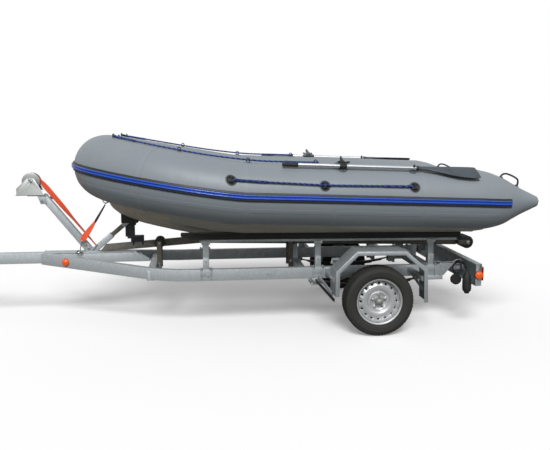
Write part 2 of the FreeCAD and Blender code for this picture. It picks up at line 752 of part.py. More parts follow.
# ---------------------------------------------------------------- rollers

gap_out = number("beam_width / 2") + 6
brackets = []


def roller_z(x):
    """Height of a spindle through the keel beam, a little above the beam's middle."""
    return beam_centre(x) + 8


def roller_pair(name, x, z):
    """Two rollers on one spindle that passes through the keel beam."""
    length = number("keel_roller_length")
    reach = gap_out + length + 14
    shape = crosswise(number("axle_pin_radius"), 2 * reach, x, -reach, z)
    for y in (-gap_out - length, gap_out):
        shape = shape.fuse(crosswise(number("keel_roller_radius"), length, x, y, z))
    return node(name, solid(name, shape))


keel_x = number("keel_roller_x")
middle_x = number("middle_roller_x")
roller_pair("front_keel_rollers", keel_x, roller_z(keel_x))
roller_pair("middle_keel_rollers", middle_x, roller_z(middle_x))
beam_bores = []
for i, x in enumerate((keel_x, middle_x)):
    beam_bores.append(rod(f"beam_bore_{i}", "axle_pin_radius + pin_gap", "beam_width + 40",
                          x, "-beam_width / 2 - 20", roller_z(x)))
node("keel_beam", cut("keel_beam", beam_blank, beam_bores))

cheek_y = gap_out + number("keel_roller_length") + 5
CHEEK_WIDTH = 42
# roller's centre and the cheek's front edge: against the front member's back, the middle member's front
CHEEKS = [
    (keel_x, number("drawbar_rear_x + member_width")),
    (middle_x, MIDDLE_MEMBER_X - CHEEK_WIDTH),
]
for i, (x, start) in enumerate(CHEEKS):
    z = roller_z(x)
    for side in (-1, 1):
        y = side * cheek_y if side > 0 else -cheek_y - 5
        plate = box(f"cheek_{i}_{side}", CHEEK_WIDTH, "5", z + 90 - member_top, start, y, member_top - 70)
        hole = rod(f"cheek_bore_{i}_{side}", "axle_pin_radius + pin_gap", "20", x, y - 7, z)
        brackets.append(cut(f"roller_cheek_{i}_{side}", plate, [hole]))
# tail roller and its fork
tail_x = number("tail_roller_x")
tail_z = number("tail_roller_z")
half_tail = number("tail_roller_length / 2")
tail = crosswise(number("tail_roller_radius"), 2 * half_tail, tail_x, -half_tail, tail_z)
tail = tail.fuse(crosswise(number("axle_pin_radius"), 2 * half_tail + 40, tail_x, -half_tail - 20, tail_z))
node("tail_roller", solid("tail_roller", tail))
fork_x = number("beam_rear_x")
FORK_SHEET = 8
FORK_TALL = 44
fork_half = half_tail + 5 + FORK_SHEET
fork_low = tail_z - FORK_TALL / 2
fork = Part.makeBox(FORK_SHEET, 2 * fork_half, FORK_TALL, Vector(fork_x, -fork_half, fork_low))
for y in (-fork_half, fork_half - FORK_SHEET):
    arm = Part.makeBox(tail_x + 22 - fork_x, FORK_SHEET, FORK_TALL, Vector(fork_x, y, fork_low))
    fork = fork.fuse(arm)
fork_bore = number("axle_pin_radius + pin_gap")
fork = fork.cut(crosswise(fork_bore, 2 * half_tail + 60, tail_x, -half_tail - 30, tail_z))
brackets.append(solid("tail_fork", fork))
node("roller_brackets", group("roller_brackets", brackets))

# ---------------------------------------------------------------- bunks

starboard_bunk = slab(
    "bunk_board", "XZ_Plane",
    [("bunk_front_x", "bunk_front_z"), ("bunk_front_x", "bunk_front_z - 20"),
     ("bunk_front_x + 75", "bunk_front_z - bunk_thick"),
     ("bunk_rear_x", "bunk_rear_z - bunk_thick"), ("bunk_rear_x", "bunk_rear_z")],
    "bunk_width", "bunk_y")
node("bunks", group("bunks", [starboard_bunk, mirrored("bunk_port", starboard_bunk)]))

channel_front, channel_rear, channel_deep = 10, 2170, 22
bunk_slope = "(bunk_rear_z - bunk_front_z) / (bunk_rear_x - bunk_front_x)"


def under_bunk(x):
    return number(f"bunk_front_z - bunk_thick + {bunk_slope} * ({x} - bunk_front_x)")


channel = slab(
    "bunk_channel", "XZ_Plane",
    [(channel_front, under_bunk(channel_front)), (channel_front, under_bunk(channel_front) - channel_deep),
     (channel_rear, under_bunk(channel_rear) - channel_deep), (channel_rear, under_bunk(channel_rear))],
    "60", "bunk_y")
POST_X = [20, 950, 1920]
rail_top = number("rail_z + rail_height")
supports = [channel]
for i, x in enumerate(POST_X):
    tall = under_bunk(x + 50) - channel_deep - rail_top + 2
    supports.append(box(f"bunk_post_{i}", "50", "40", tall, x, "rail_y - 20", rail_top))
bunk_support = fuse("bunk_support", supports)
node("bunk_supports", group("bunk_supports", [bunk_support, mirrored("bunk_support_port", bunk_support)]))

# ---------------------------------------------------------------- winch post, winch, bow support

top_of_drawbar = number(drawbar_top)
plate_z = number("winch_plate_z")
lean = math.atan2(number("post_base_x - post_top_x"), plate_z - top_of_drawbar)
half_foot = number("post_width / 2") / math.cos(lean)
winch_post = slab(
    "winch_post", "XZ_Plane",
    [(f"post_base_x - {half_foot}", drawbar_top), (f"post_base_x + {half_foot}", drawbar_top),
     (f"post_top_x + {half_foot}", "winch_plate_z"), (f"post_top_x - {half_foot}", "winch_plate_z")],
    "post_width")
node("winch_post", winch_post)

# telescopic strut from the post's foot to the bow support: wide lower tube, slim upper tube
support_front = number("support_x - support_width / 2")
strut_foot = Vector(-932, 0, top_of_drawbar)
strut_head = Vector(support_front, 0, 820)
strut_run = strut_head - strut_foot
lower = bar(strut_foot - strut_run * 0.15, strut_foot + strut_run * 0.58, 46, 46, Vector(0, 1, 0))
upper = bar(strut_foot + strut_run * 0.5, strut_head + strut_run * 0.2, 38, 38, Vector(0, 1, 0))
strut_blank = solid("strut_blank", lower.fuse(upper))
below = box("strut_below", "600", "200", "300", "-1200", "-100", "drawbar_z + drawbar_height - 300")
behind = box("strut_behind", "300", "200", "600", "support_x - support_width / 2", "-100", "600")
block_blank = box("block_blank", "140", "170", "110", "support_x - 66", "-85", "support_top_z")
node("post_strut", cut("post_strut", strut_blank, [below, behind, winch_post, block_blank]))

beam_under_support = [beam_centre(x) + beam_height / 2 for x in (-600, -490)]
SHOE_TOP = 705
post_front = "support_x - support_width / 2"
post_rear = "support_x + support_width / 2"
support_post = slab(
    "bow_support_post", "XZ_Plane",
    [(post_front, "support_top_z"), (post_front, SHOE_TOP), (-600, SHOE_TOP),
     (-600, beam_under_support[0]), (-490, beam_under_support[1]), (-490, SHOE_TOP),
     (post_rear, SHOE_TOP), (post_rear, "support_top_z")],
    "60")
node("bow_support_post", support_post)
node("bow_support_block", cut("bow_support_block", block_blank, [hull_bottom]))

winch_x = number("winch_x")
winch_z = number("winch_z")
inside = number("winch_inside / 2")
cheek = number("cheek_thick")
base = Part.makeBox(250, 2 * (inside + cheek), 6, Vector(winch_x - 128, -inside - cheek, plate_z))
frame = base
for y in (-inside - cheek, inside):
    tab = Part.makePolygon([Vector(winch_x - 120, y, plate_z + 2), Vector(winch_x + 110, y, plate_z + 2),
                            Vector(winch_x + 30, y, winch_z + 26), Vector(winch_x - 30, y, winch_z + 26),
                            Vector(winch_x - 120, y, plate_z + 60), Vector(winch_x - 120, y, plate_z + 2)])
    frame = frame.fuse(Part.Face(tab).extrude(Vector(0, cheek, 0)))
spindle = number("axle_pin_radius")
frame = frame.cut(crosswise(spindle + number("pin_gap"), 200, winch_x, -100, winch_z))
node("winch_frame", solid("winch_frame", frame))

WOUND_RADIUS = 60
flange = number("winch_radius")
reel = crosswise(spindle, 2 * inside + 50, winch_x, -inside - 16, winch_z)
reel = reel.fuse(crosswise(WOUND_RADIUS, 56, winch_x, -28, winch_z))
for y in (-34, 28):
    reel = reel.fuse(crosswise(flange, 6, winch_x, y, winch_z))
node("winch_drum", solid("winch_drum", reel))
crank_turn = Rotation(Vector(0, 1, 0), 52)
crank_y = inside + 18
arm = Part.makeBox(number("crank_length") + 30, 8, 26, Vector(-15, crank_y, -13))
arm = arm.cut(Part.makeCylinder(spindle, 60, Vector(0, crank_y - 10, 0), Vector(0, 1, 0)))
handle = Part.makeCylinder(15, 110, Vector(number("crank_length"), crank_y + 8, 0), Vector(0, 1, 0))
crank = arm.fuse(handle)
crank.Placement = Placement(Vector(winch_x, 0, winch_z), crank_turn)
node("winch_crank", solid("winch_crank", crank))

strap_end = Vector(-897, 0, top_of_drawbar + 47)
to_end = strap_end - Vector(winch_x, 0, winch_z)
tangent_turn = math.acos((WOUND_RADIUS + 2) / to_end.Length)
reach_turn = math.atan2(to_end.z, to_end.x) + tangent_turn
off_drum = Vector(math.cos(reach_turn), 0, math.sin(reach_turn)) * (WOUND_RADIUS + 2)
strap_start = Vector(winch_x, 0, winch_z) + off_drum
strap_blank = solid("strap_blank", bar(strap_start, strap_end, number("strap_width"), 3, Vector(0, 1, 0)))
node("winch_strap", cut("winch_strap", strap_blank, [nodes["post_strut"]]))

tie_low = Vector(-1018, -58, top_of_drawbar + 99)
tie_high = Vector(stem_x - 20, 0, stem_z - 58)
eye = Part.makeTorus(20, 4, Vector(-1040, -58, top_of_drawbar + 4), Vector(0, 0, 1))
lug = Part.makeBox(30, 26, 8, Vector(-1055, -52, top_of_drawbar))
hook_foot = Vector(-1020, -58, top_of_drawbar + 4)
hook_rod = Part.makeCylinder(3, (tie_low - hook_foot).Length + 10, hook_foot, tie_low - hook_foot)
tie_hook = node("tie_down_hook", solid("tie_down_hook", eye.fuse([lug, hook_rod])))
tie_blank = solid("tie_blank", bar(tie_low, tie_high, 34, 3, Vector(1, 0, -0.5)))
node("tie_down_strap", cut("tie_down_strap", tie_blank, [tie_hook, bow_ring]))

# ---------------------------------------------------------------- coupling and jockey wheel

HEAD_RADIUS = 50
HEAD_WALL = 10
ball_x = number("coupling_x") + HEAD_RADIUS
head_z = number("drawbar_z") - HEAD_WALL
head_tall = number("drawbar_height") + 2 * HEAD_WALL + 2
head_half = half_drawbar + HEAD_WALL
head = Part.makeCylinder(HEAD_RADIUS, head_tall, Vector(ball_x, 0, head_z))
head = head.fuse(Part.makeBox(250, 2 * head_half, head_tall, Vector(ball_x, -head_half, head_z)))
drawbar_space = Part.makeBox(400, number("drawbar_width"), number("drawbar_height"),
                             Vector(number("drawbar_front_x"), -half_drawbar, number("drawbar_z")))
head = head.cut(drawbar_space)
head = head.cut(Part.makeCylinder(number("ball_radius"), 60, Vector(ball_x, 0, head_z)))
node("tow_coupling", solid("tow_coupling", head))
# coupling handle's outline: aft of the ball, above the head
LEVER = [(-15, 0), (35, 0), (60, 36), (175, 36), (175, 56), (50, 56), (-15, 23)]
lever_outline = [Vector(ball_x + dx, -15, head_z + head_tall + dz) for dx, dz in LEVER]
lever = Part.Face(Part.makePolygon(lever_outline + lever_outline[:1])).extrude(Vector(0, 30, 0))
node("coupling_handle", solid("coupling_handle", lever))

jockey_x = number("jockey_x")
jockey_y = number("jockey_y")
jockey_tube = number("jockey_tube")
jockey_leg = number("jockey_leg")
jockey_radius = number("jockey_radius")
column = Vector(jockey_x, jockey_y, 0)
column_foot = number("drawbar_z") - 127
COLUMN_TALL = 430
column_top = column_foot + COLUMN_TALL
outer_tube = Part.makeCylinder(jockey_tube, COLUMN_TALL, column + Vector(0, 0, column_foot))
column_bore = Part.makeCylinder(jockey_leg + 1, COLUMN_TALL - 10, column + Vector(0, 0, column_foot - 10))
outer_tube = outer_tube.cut(column_bore)
clamp = Part.makeCylinder(jockey_tube + 8, 80, column + Vector(0, 0, column_foot + 132))
clamp = clamp.fuse(Part.makeBox(60, jockey_y - half_drawbar, 70,
                                Vector(jockey_x - 30, half_drawbar, column_foot + 137)))
clamp = clamp.cut(Part.makeCylinder(jockey_tube, COLUMN_TALL + 70, column + Vector(0, 0, column_foot - 30)))
top_bar = Part.makeBox(150, 14, 10, Vector(jockey_x - 15, jockey_y - 7, column_top + 16))
top_bar = top_bar.fuse(Part.makeCylinder(10, 20, column + Vector(0, 0, column_top - 1)))
top_grip = Part.makeCylinder(11, 70, Vector(jockey_x + 122, jockey_y, column_top + 22))
node("jockey_column", solid("jockey_column", outer_tube.fuse([clamp, top_bar, top_grip])))
fork_z = 2 * jockey_radius + 8
leg = Part.makeCylinder(jockey_leg, 390, column + Vector(0, 0, fork_z + 10))
node("jockey_leg", solid("jockey_leg", leg))
trail = 45
wheel_at = Vector(jockey_x + trail, jockey_y, jockey_radius)
half_wheel = number("jockey_width / 2")
fork_top = Part.makeCylinder(30, 10, column + Vector(0, 0, fork_z))
fork_top = fork_top.fuse(Part.makeBox(90, 2 * half_wheel + 24, 6,
                                      Vector(jockey_x - 30, jockey_y - half_wheel - 12, fork_z)))
for offset in (-half_wheel - 12, half_wheel + 8):
    y = jockey_y + offset
    side = [Vector(jockey_x - 30, y, fork_z + 4), Vector(jockey_x + 60, y, fork_z + 4),
            Vector(wheel_at.x + 16, y, jockey_radius - 16), Vector(wheel_at.x - 16, y, jockey_radius - 16)]
    fork_top = fork_top.fuse(Part.Face(Part.makePolygon(side + side[:1])).extrude(Vector(0, 4, 0)))
spindle_hole = Part.makeCylinder(7, 200, wheel_at - Vector(0, 100, 0), Vector(0, 1, 0))
node("jockey_fork", solid("jockey_fork", fork_top.cut(spindle_hole)))
small_wheel = crosswise(jockey_radius, 2 * half_wheel, wheel_at.x, jockey_y - half_wheel, wheel_at.z)
jockey_pin = crosswise(6, 2 * half_wheel + 36, wheel_at.x, jockey_y - half_wheel - 18, wheel_at.z)
small_wheel = small_wheel.fuse(jockey_pin)
node("jockey_wheel", solid("jockey_wheel", small_wheel))

# ---------------------------------------------------------------- axle, springs, wheels

axle_beam = box("axle_square", "axle_side", "2 * wheel_y - 150", "axle_side",
                "axle_x - axle_side / 2", "75 - wheel_y", "tyre_radius - axle_side / 2")
spindles = rod("axle_spindles", "spindle_radius", "2 * wheel_y + 40",
               "axle_x", "-wheel_y - 20", "tyre_radius")
node("axle_beam", fuse("axle_beam", [axle_beam, spindles]))

axle_top = "(tyre_radius + axle_side / 2)"
spring_rise = f"(rail_z - {axle_top})"
spring_eye = f"rail_z - 7 - 0.2 * {spring_rise}"
leaf_under = f"{axle_top} + 0.4 * {spring_rise}"
leaf_over = f"{axle_top} + 0.74 * {spring_rise}"
spring = slab(
    "spring_starboard", "XZ_Plane",
    [("axle_x - spring_half", "rail_z - 7"), ("axle_x - spring_half", spring_eye),
     ("axle_x - spring_half / 2", leaf_under), ("axle_x - 60", axle_top), ("axle_x + 60", axle_top),
     ("axle_x + spring_half / 2", leaf_under), ("axle_x + spring_half", spring_eye),
     ("axle_x + spring_half", "rail_z - 7"), ("axle_x + spring_half - 40", "rail_z - 7"),
     ("axle_x + spring_half / 2", leaf_over), ("axle_x", f"{axle_top} + 0.49 * {spring_rise}"),
     ("axle_x - spring_half / 2", leaf_over), ("axle_x - spring_half + 40", "rail_z - 7")],
    "spring_width", "rail_y")
node("leaf_springs", group("leaf_springs", [spring, mirrored("spring_port", spring)]))

hangers = []
for i, sign in enumerate((-1, 1)):
    x = f"axle_x + {sign} * (spring_half - 20) - 28"
    block = box(f"hanger_block_{i}", "56", "spring_width + 14", "58",
                x, "rail_y - spring_width / 2 - 7", "rail_z - 58")
    slot = box(f"hanger_slot_{i}", "60", "spring_width + 2", "52",
               x + " - 2", "rail_y - spring_width / 2 - 1", "rail_z - 59")
    hanger = cut(f"hanger_{i}", block, [slot])
    hangers += [hanger, mirrored(f"hanger_port_{i}", hanger)]
node("spring_hangers", group("spring_hangers", hangers))

half_rim = number("rim_width / 2")
lip = "rim_radius"
rim = turned(
    "rim_blank",
    [(half_rim, lip), (half_rim - 7, lip), (half_rim - 7, "rim_radius - 18"),
     (7 - half_rim, "rim_radius - 18"), (7 - half_rim, lip),
     (-half_rim, lip), (-half_rim, "rim_radius - 24"), (12, "rim_radius - 24"),
     (38, "130"), (40, "96"), (25, "80"), (25, "31"), (30, "31"), (30, "78"), (45, "94"), (44, "132"),
     (24, "rim_radius - 24"), (half_rim, "rim_radius - 24")],
    "axle_x", "wheel_y", "tyre_radius")
HOLES = 16
HOLE_RADIUS = 7.5
HOLE_CIRCLE = 146
hole_ring = []
for i in range(HOLES):
    a = 2 * math.pi * i / HOLES
    hole_x = number("axle_x") + HOLE_CIRCLE * math.cos(a)
    hole_z = number("tyre_radius") + HOLE_CIRCLE * math.sin(a)
    hole_ring.append(crosswise(HOLE_RADIUS, 60, hole_x, number("wheel_y"), hole_z))
hole_tool = solid("rim_holes", Part.makeCompound(hole_ring))
starboard_rim = node("starboard_rim", cut("starboard_rim", rim, [hole_tool]))
node("port_rim", mirrored("port_rim", starboard_rim))

half_tyre = number("tyre_width / 2")
bead = half_rim - 8
starboard_tyre = turned(
    "starboard_tyre",
    [(bead, "rim_radius - 18"), (bead, "rim_radius + 4"),
     (half_tyre, "tyre_radius - 55"), (half_tyre - 3, "tyre_radius - 26"),
     (half_tyre - 14, "tyre_radius - 6"), (half_tyre - 24, "tyre_radius"),
     (24 - half_tyre, "tyre_radius"), (14 - half_tyre, "tyre_radius - 6"),
     (3 - half_tyre, "tyre_radius - 26"), (-half_tyre, "tyre_radius - 55"),
     (-bead, "rim_radius + 4"), (-bead, "rim_radius - 18")],
    "axle_x", "wheel_y", "tyre_radius")
node("starboard_tyre", starboard_tyre)
node("port_tyre", mirrored("port_tyre", starboard_tyre))

bore_r = "spindle_radius + hub_bore_gap"
starboard_hub = turned(
    "starboard_hub",
    [(-60, bore_r), (22, bore_r), (22, "0"), (78, "0"), (78, "24"), (72, "28"), (31, "28"), (31, "30"),
     (25, "30"), (25, "66"), (12, "66"), (12, "40"), (-60, "40")],
    "axle_x", "wheel_y", "tyre_radius")
node("starboard_hub", starboard_hub)
node("port_hub", mirrored("port_hub", starboard_hub))

# ---------------------------------------------------------------- mudguards and their brackets

# mudguard's outline: aft of the axle, above it
GUARD = [(-370, 67), (-366, 265), (-203, 420), (192, 416), (366, 270), (374, 3)]
axle_x = number("axle_x")
sheet_thick = number("guard_sheet")
guard_y = number("guard_outer_y - guard_width")


def folded(depth, length, y):
    """The guard's outline as a band of the given depth, pushed sideways."""
    inner_points = []
    points = [Vector(axle_x + dx, 0, number("tyre_radius") + dz) for dx, dz in GUARD]
    for i, at in enumerate(points):
        into = (at - points[i - 1]).normalize() if i else (points[1] - at).normalize()
        out = (points[i + 1] - at).normalize() if i + 1 < len(points) else into
        normal = Vector(into.z, 0, -into.x) + Vector(out.z, 0, -out.x)
        normal = normal.normalize()
        inner_points.append(at + normal * (depth / normal.dot(Vector(into.z, 0, -into.x))))
    corners = points + inner_points[::-1]
    face = Part.Face(Part.makePolygon(corners + corners[:1]))
    face.translate(Vector(0, y, 0))
    return face.extrude(Vector(0, length, 0))


guard = folded(sheet_thick, number("guard_width"), guard_y)
guard = guard.fuse(folded(number("guard_lip"), sheet_thick, number("guard_outer_y") - sheet_thick))
starboard_guard = node("starboard_mudguard", solid("starboard_mudguard", guard))
node("port_mudguard", mirrored("port_mudguard", starboard_guard))

guard_brackets = []
rail_side = number("rail_y + rail_width / 2")
for name, x in (("front", axle_x - 370), ("rear", axle_x + 338)):
    plate = Part.makeBox(36, guard_y + 150 - rail_side, 40, Vector(x, rail_side, number("rail_z + 42")))
    bracket = cut(f"guard_bracket_{name}", solid(f"guard_plate_{name}", plate), [starboard_guard])
    guard_brackets += [bracket, mirrored(f"guard_bracket_port_{name}", bracket)]

# ---------------------------------------------------------------- light board and lamps

board = box("board_block", "board_depth", "2 * board_half", "board_height",
            "board_x", "-board_half", "rail_z - board_drop")
board_inside = box("board_inside", "board_depth", "2 * board_half - 6", "board_height - 6",
                   "board_x - 3", "3 - board_half", "rail_z - board_drop + 3")
node("light_board", cut("light_board", board, [board_inside]))
tie = Part.makeBox(230, 40, 5, Vector(number("board_x + 3") - 200, rail_y - 20, rail_top))
tie = tie.fuse(Part.makeBox(5, 40, 60, Vector(number("board_x") + 25, rail_y - 20, rail_top - 55)))
tie = tie.fuse(Part.makeBox(22, 40, 5, Vector(number("board_x") + 25, rail_y - 20, rail_top - 55)))
board_tie = solid("board_tie", tie)
board_ties = [board_tie, mirrored("board_tie_port", board_tie)]
node("frame_brackets", group("frame_brackets", guard_brackets + board_ties))

lamps = []
aft = "board_x + board_depth"
tail_lamp = box("tail_lamp", "38", "220", "120", aft, "540", "rail_z - board_drop + 30")
board_marker = rod("board_marker", "marker_radius", "16",
                   "board_x + board_depth / 2", "board_half", "rail_z - board_drop + board_height / 2")
for lamp in (tail_lamp, board_marker):
    lamps += [lamp, mirrored(lamp.Name + "_port", lamp)]
arm_marker_at = Vector(-1134, 0, 516)
(ax, ay, az, ah), (bx, by, bz, bh) = RAIL[:2]
arm_turn = math.atan2(by - ay, bx - ax)
arm_face = ay + (arm_marker_at.x - ax) * math.tan(arm_turn) + number("rail_width / 2") / math.cos(arm_turn)
face_out = Vector(-math.sin(arm_turn), math.cos(arm_turn), 0)
marker_centre = Vector(arm_marker_at.x, arm_face - 4, arm_marker_at.z)
marker_disc = disc(marker_centre, face_out, number("marker_radius"), 20)
arm_marker = cut("arm_marker", solid("arm_marker_blank", marker_disc), [rail_outer])
lamps += [arm_marker, mirrored("arm_marker_port", arm_marker)]
plate_holder = box("number_plate", "6", "520", "112", aft, "-260", "rail_z - board_drop + 40")
lamps.append(plate_holder)
node("lamps", group("lamps", lamps))

# ---------------------------------------------------------------- check and write

doc.recompute()
for thing in doc.Objects:
    if "Invalid" in thing.State or "Error" in thing.State:
        raise SystemExit(f"failed: {thing.Label} {thing.State}")
os.makedirs("parts", exist_ok=True)
for name, thing in nodes.items():
    shape = thing.Shape
    if shape.isNull() or not shape.isValid():
        raise SystemExit(f"not a valid shape: {name}")
    shape.exportStep(f"parts/{name}.step")
print(len(nodes), "nodes written")
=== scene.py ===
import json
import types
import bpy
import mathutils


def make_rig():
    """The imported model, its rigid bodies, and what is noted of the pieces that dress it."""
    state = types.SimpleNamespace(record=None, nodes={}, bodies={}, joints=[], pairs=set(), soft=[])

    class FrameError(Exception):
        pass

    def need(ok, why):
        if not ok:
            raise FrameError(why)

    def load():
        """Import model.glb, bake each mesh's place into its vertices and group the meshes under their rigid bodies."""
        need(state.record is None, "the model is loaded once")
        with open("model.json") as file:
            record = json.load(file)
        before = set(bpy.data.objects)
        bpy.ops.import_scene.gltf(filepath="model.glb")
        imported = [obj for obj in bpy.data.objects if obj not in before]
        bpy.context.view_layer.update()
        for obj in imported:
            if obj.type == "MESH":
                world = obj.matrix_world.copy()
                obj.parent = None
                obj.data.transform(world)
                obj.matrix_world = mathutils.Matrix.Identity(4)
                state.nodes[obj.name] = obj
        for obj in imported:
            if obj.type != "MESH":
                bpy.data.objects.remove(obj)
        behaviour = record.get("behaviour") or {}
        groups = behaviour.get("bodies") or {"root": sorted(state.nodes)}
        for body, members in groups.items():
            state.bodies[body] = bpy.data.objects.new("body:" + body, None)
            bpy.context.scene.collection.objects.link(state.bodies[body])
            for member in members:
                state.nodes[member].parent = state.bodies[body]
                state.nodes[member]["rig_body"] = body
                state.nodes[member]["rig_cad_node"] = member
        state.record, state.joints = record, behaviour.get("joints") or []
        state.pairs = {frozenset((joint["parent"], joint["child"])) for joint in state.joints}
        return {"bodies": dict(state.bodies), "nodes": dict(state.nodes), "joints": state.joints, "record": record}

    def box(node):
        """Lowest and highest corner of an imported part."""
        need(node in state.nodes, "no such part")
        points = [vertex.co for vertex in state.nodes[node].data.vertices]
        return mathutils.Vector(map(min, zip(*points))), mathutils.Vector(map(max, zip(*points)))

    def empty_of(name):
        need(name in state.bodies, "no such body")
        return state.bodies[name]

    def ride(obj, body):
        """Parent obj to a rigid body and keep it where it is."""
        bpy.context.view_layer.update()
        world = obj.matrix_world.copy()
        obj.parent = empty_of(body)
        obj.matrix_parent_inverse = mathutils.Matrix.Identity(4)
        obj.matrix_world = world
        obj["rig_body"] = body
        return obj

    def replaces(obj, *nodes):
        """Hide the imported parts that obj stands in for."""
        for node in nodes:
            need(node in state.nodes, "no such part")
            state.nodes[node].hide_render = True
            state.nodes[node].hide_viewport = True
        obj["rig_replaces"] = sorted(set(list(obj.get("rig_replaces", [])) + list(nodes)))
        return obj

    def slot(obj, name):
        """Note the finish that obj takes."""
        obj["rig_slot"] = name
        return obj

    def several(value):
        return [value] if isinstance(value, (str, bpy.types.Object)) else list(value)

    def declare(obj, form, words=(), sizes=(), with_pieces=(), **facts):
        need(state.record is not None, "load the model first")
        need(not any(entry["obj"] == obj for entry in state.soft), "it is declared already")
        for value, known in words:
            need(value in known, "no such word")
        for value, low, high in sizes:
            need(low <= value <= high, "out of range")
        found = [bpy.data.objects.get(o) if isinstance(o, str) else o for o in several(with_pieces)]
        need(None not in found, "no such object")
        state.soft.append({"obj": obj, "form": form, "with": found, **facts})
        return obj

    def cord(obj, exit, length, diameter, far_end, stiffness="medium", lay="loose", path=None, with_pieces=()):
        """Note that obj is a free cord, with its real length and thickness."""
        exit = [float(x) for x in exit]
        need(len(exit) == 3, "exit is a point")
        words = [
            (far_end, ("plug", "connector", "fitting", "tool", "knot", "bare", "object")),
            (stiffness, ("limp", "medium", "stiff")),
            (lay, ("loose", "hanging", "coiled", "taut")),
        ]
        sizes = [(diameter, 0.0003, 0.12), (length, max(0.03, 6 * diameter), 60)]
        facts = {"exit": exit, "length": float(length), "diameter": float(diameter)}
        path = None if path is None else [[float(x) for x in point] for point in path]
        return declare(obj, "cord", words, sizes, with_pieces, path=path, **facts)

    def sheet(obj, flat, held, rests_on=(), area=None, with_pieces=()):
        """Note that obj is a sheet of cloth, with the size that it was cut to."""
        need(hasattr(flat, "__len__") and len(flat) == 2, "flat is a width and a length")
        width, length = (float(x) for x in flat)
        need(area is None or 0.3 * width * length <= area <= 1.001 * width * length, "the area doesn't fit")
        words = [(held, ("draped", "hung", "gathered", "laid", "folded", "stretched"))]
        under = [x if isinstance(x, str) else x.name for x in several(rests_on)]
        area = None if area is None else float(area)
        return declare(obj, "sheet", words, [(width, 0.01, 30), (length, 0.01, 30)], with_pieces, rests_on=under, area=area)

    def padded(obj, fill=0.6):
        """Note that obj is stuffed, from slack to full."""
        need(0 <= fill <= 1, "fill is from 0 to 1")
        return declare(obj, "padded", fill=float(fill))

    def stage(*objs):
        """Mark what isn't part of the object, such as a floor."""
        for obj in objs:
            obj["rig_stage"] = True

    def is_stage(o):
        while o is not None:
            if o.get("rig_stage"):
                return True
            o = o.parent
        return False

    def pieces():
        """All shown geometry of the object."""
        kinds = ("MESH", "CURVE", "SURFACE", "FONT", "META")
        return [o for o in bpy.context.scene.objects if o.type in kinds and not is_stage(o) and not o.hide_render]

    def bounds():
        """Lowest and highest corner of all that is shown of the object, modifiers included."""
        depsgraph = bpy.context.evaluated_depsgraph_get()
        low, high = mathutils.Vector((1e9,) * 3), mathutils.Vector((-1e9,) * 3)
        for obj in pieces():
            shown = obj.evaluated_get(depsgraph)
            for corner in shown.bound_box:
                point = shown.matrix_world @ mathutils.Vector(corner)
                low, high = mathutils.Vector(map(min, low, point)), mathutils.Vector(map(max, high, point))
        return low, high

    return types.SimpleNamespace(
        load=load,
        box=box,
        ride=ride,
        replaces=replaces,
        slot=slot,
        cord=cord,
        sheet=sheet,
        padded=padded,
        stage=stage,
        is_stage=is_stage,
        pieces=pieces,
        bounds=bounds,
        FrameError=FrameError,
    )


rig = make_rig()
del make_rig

bl_info = {
    "name": "Inflatable boat on a road trailer",
    "version": (1, 0, 0),
    "blender": (4, 5, 0),
    "location": "View3D > Sidebar > Boat",
    "description": "Builds the visible surfaces of the boat and its trailer round the packed model",
    "category": "Object",
}

import json
import sys
from math import asin, atan2, copysign, cos, degrees, exp, pi, radians, sin, sqrt

import bmesh
import bpy
from mathutils import Vector

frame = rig.load()
CAD_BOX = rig.bounds()
ROOT = "boat_and_trailer"
SIDES = (("starboard", 1), ("port", -1))
MM = 0.001
# vertices closer than this are one vertex, in metres
WELD = 2e-6


def mm(rows):
    """Rows of numbers in millimetres, such as "0 5, 12 7.5", as tuples in metres."""
    return [tuple(float(v) / 1000 for v in row.split()) for row in rows.split(",")]


def vec(x, y, z):
    return Vector((x, y, z))


X, Y, Z = vec(1, 0, 0), vec(0, 1, 0), vec(0, 0, 1)


def boat_sizes():
    return bpy.context.scene.boat_sizes


def trailer_sizes():
    return bpy.context.scene.trailer_sizes


# ---- sizes and colours a user would change


def linear(code):
    """An sRGB hex colour as linear red, green and blue."""
    parts = [int(code[i:i + 2], 16) / 255 for i in (1, 3, 5)]
    return tuple(c / 12.92 if c <= 0.04045 else ((c + 0.055) / 1.055) ** 2.4 for c in parts)


def length(name, description, default):
    return bpy.props.FloatProperty(name=name, description=description, default=default, unit="LENGTH", precision=4)


def colour(name, description, code):
    return bpy.props.FloatVectorProperty(name=name, description=description, default=linear(code), subtype="COLOR",
        min=0, max=1)


class BoatSizes(bpy.types.PropertyGroup):
    """Sizes of the boat, in metres."""

    tube_radius: length("Tube radius", "Radius of the buoyancy tubes", 0.244)
    bow_swell: length("Bow swell", "How much fuller the tube is at the stem", 0.021)
    tube_y: length("Tube spacing", "Centreline of a side tube from the boat's middle", 0.727)
    front_x: length("Bow joint", "Where the straight tubes meet the bow", 0.35)
    front_z: length("Bow joint height", "Height of the tube's centre there", 1.138)
    taper_x: length("Cone start", "Where the stern cones start", 2.19)
    taper_z: length("Cone height", "Height of the tube's centre there", 1.073)
    tip_x: length("Cone tip", "Aft end of the stern cones", 2.75)
    bow_reach: length("Bow reach", "How far the bow runs ahead of its joints", 1.135)
    bow_rise: length("Bow rise", "How far the bow rises", 0.182)
    seam_width: length("Seam tape", "Width of the tape welded over each panel joint", 0.04)
    seam_height: length("Seam tape thickness", "How far the tape stands off the panels", 0.0012)
    strake_height: length("Strake height", "Height of the rubbing strake", 0.068)
    rope_radius: length("Rope radius", "Radius of the grab lines", 0.0062)
    rope_lay: length("Rope lay", "Length of one full turn of a strand", 0.042)


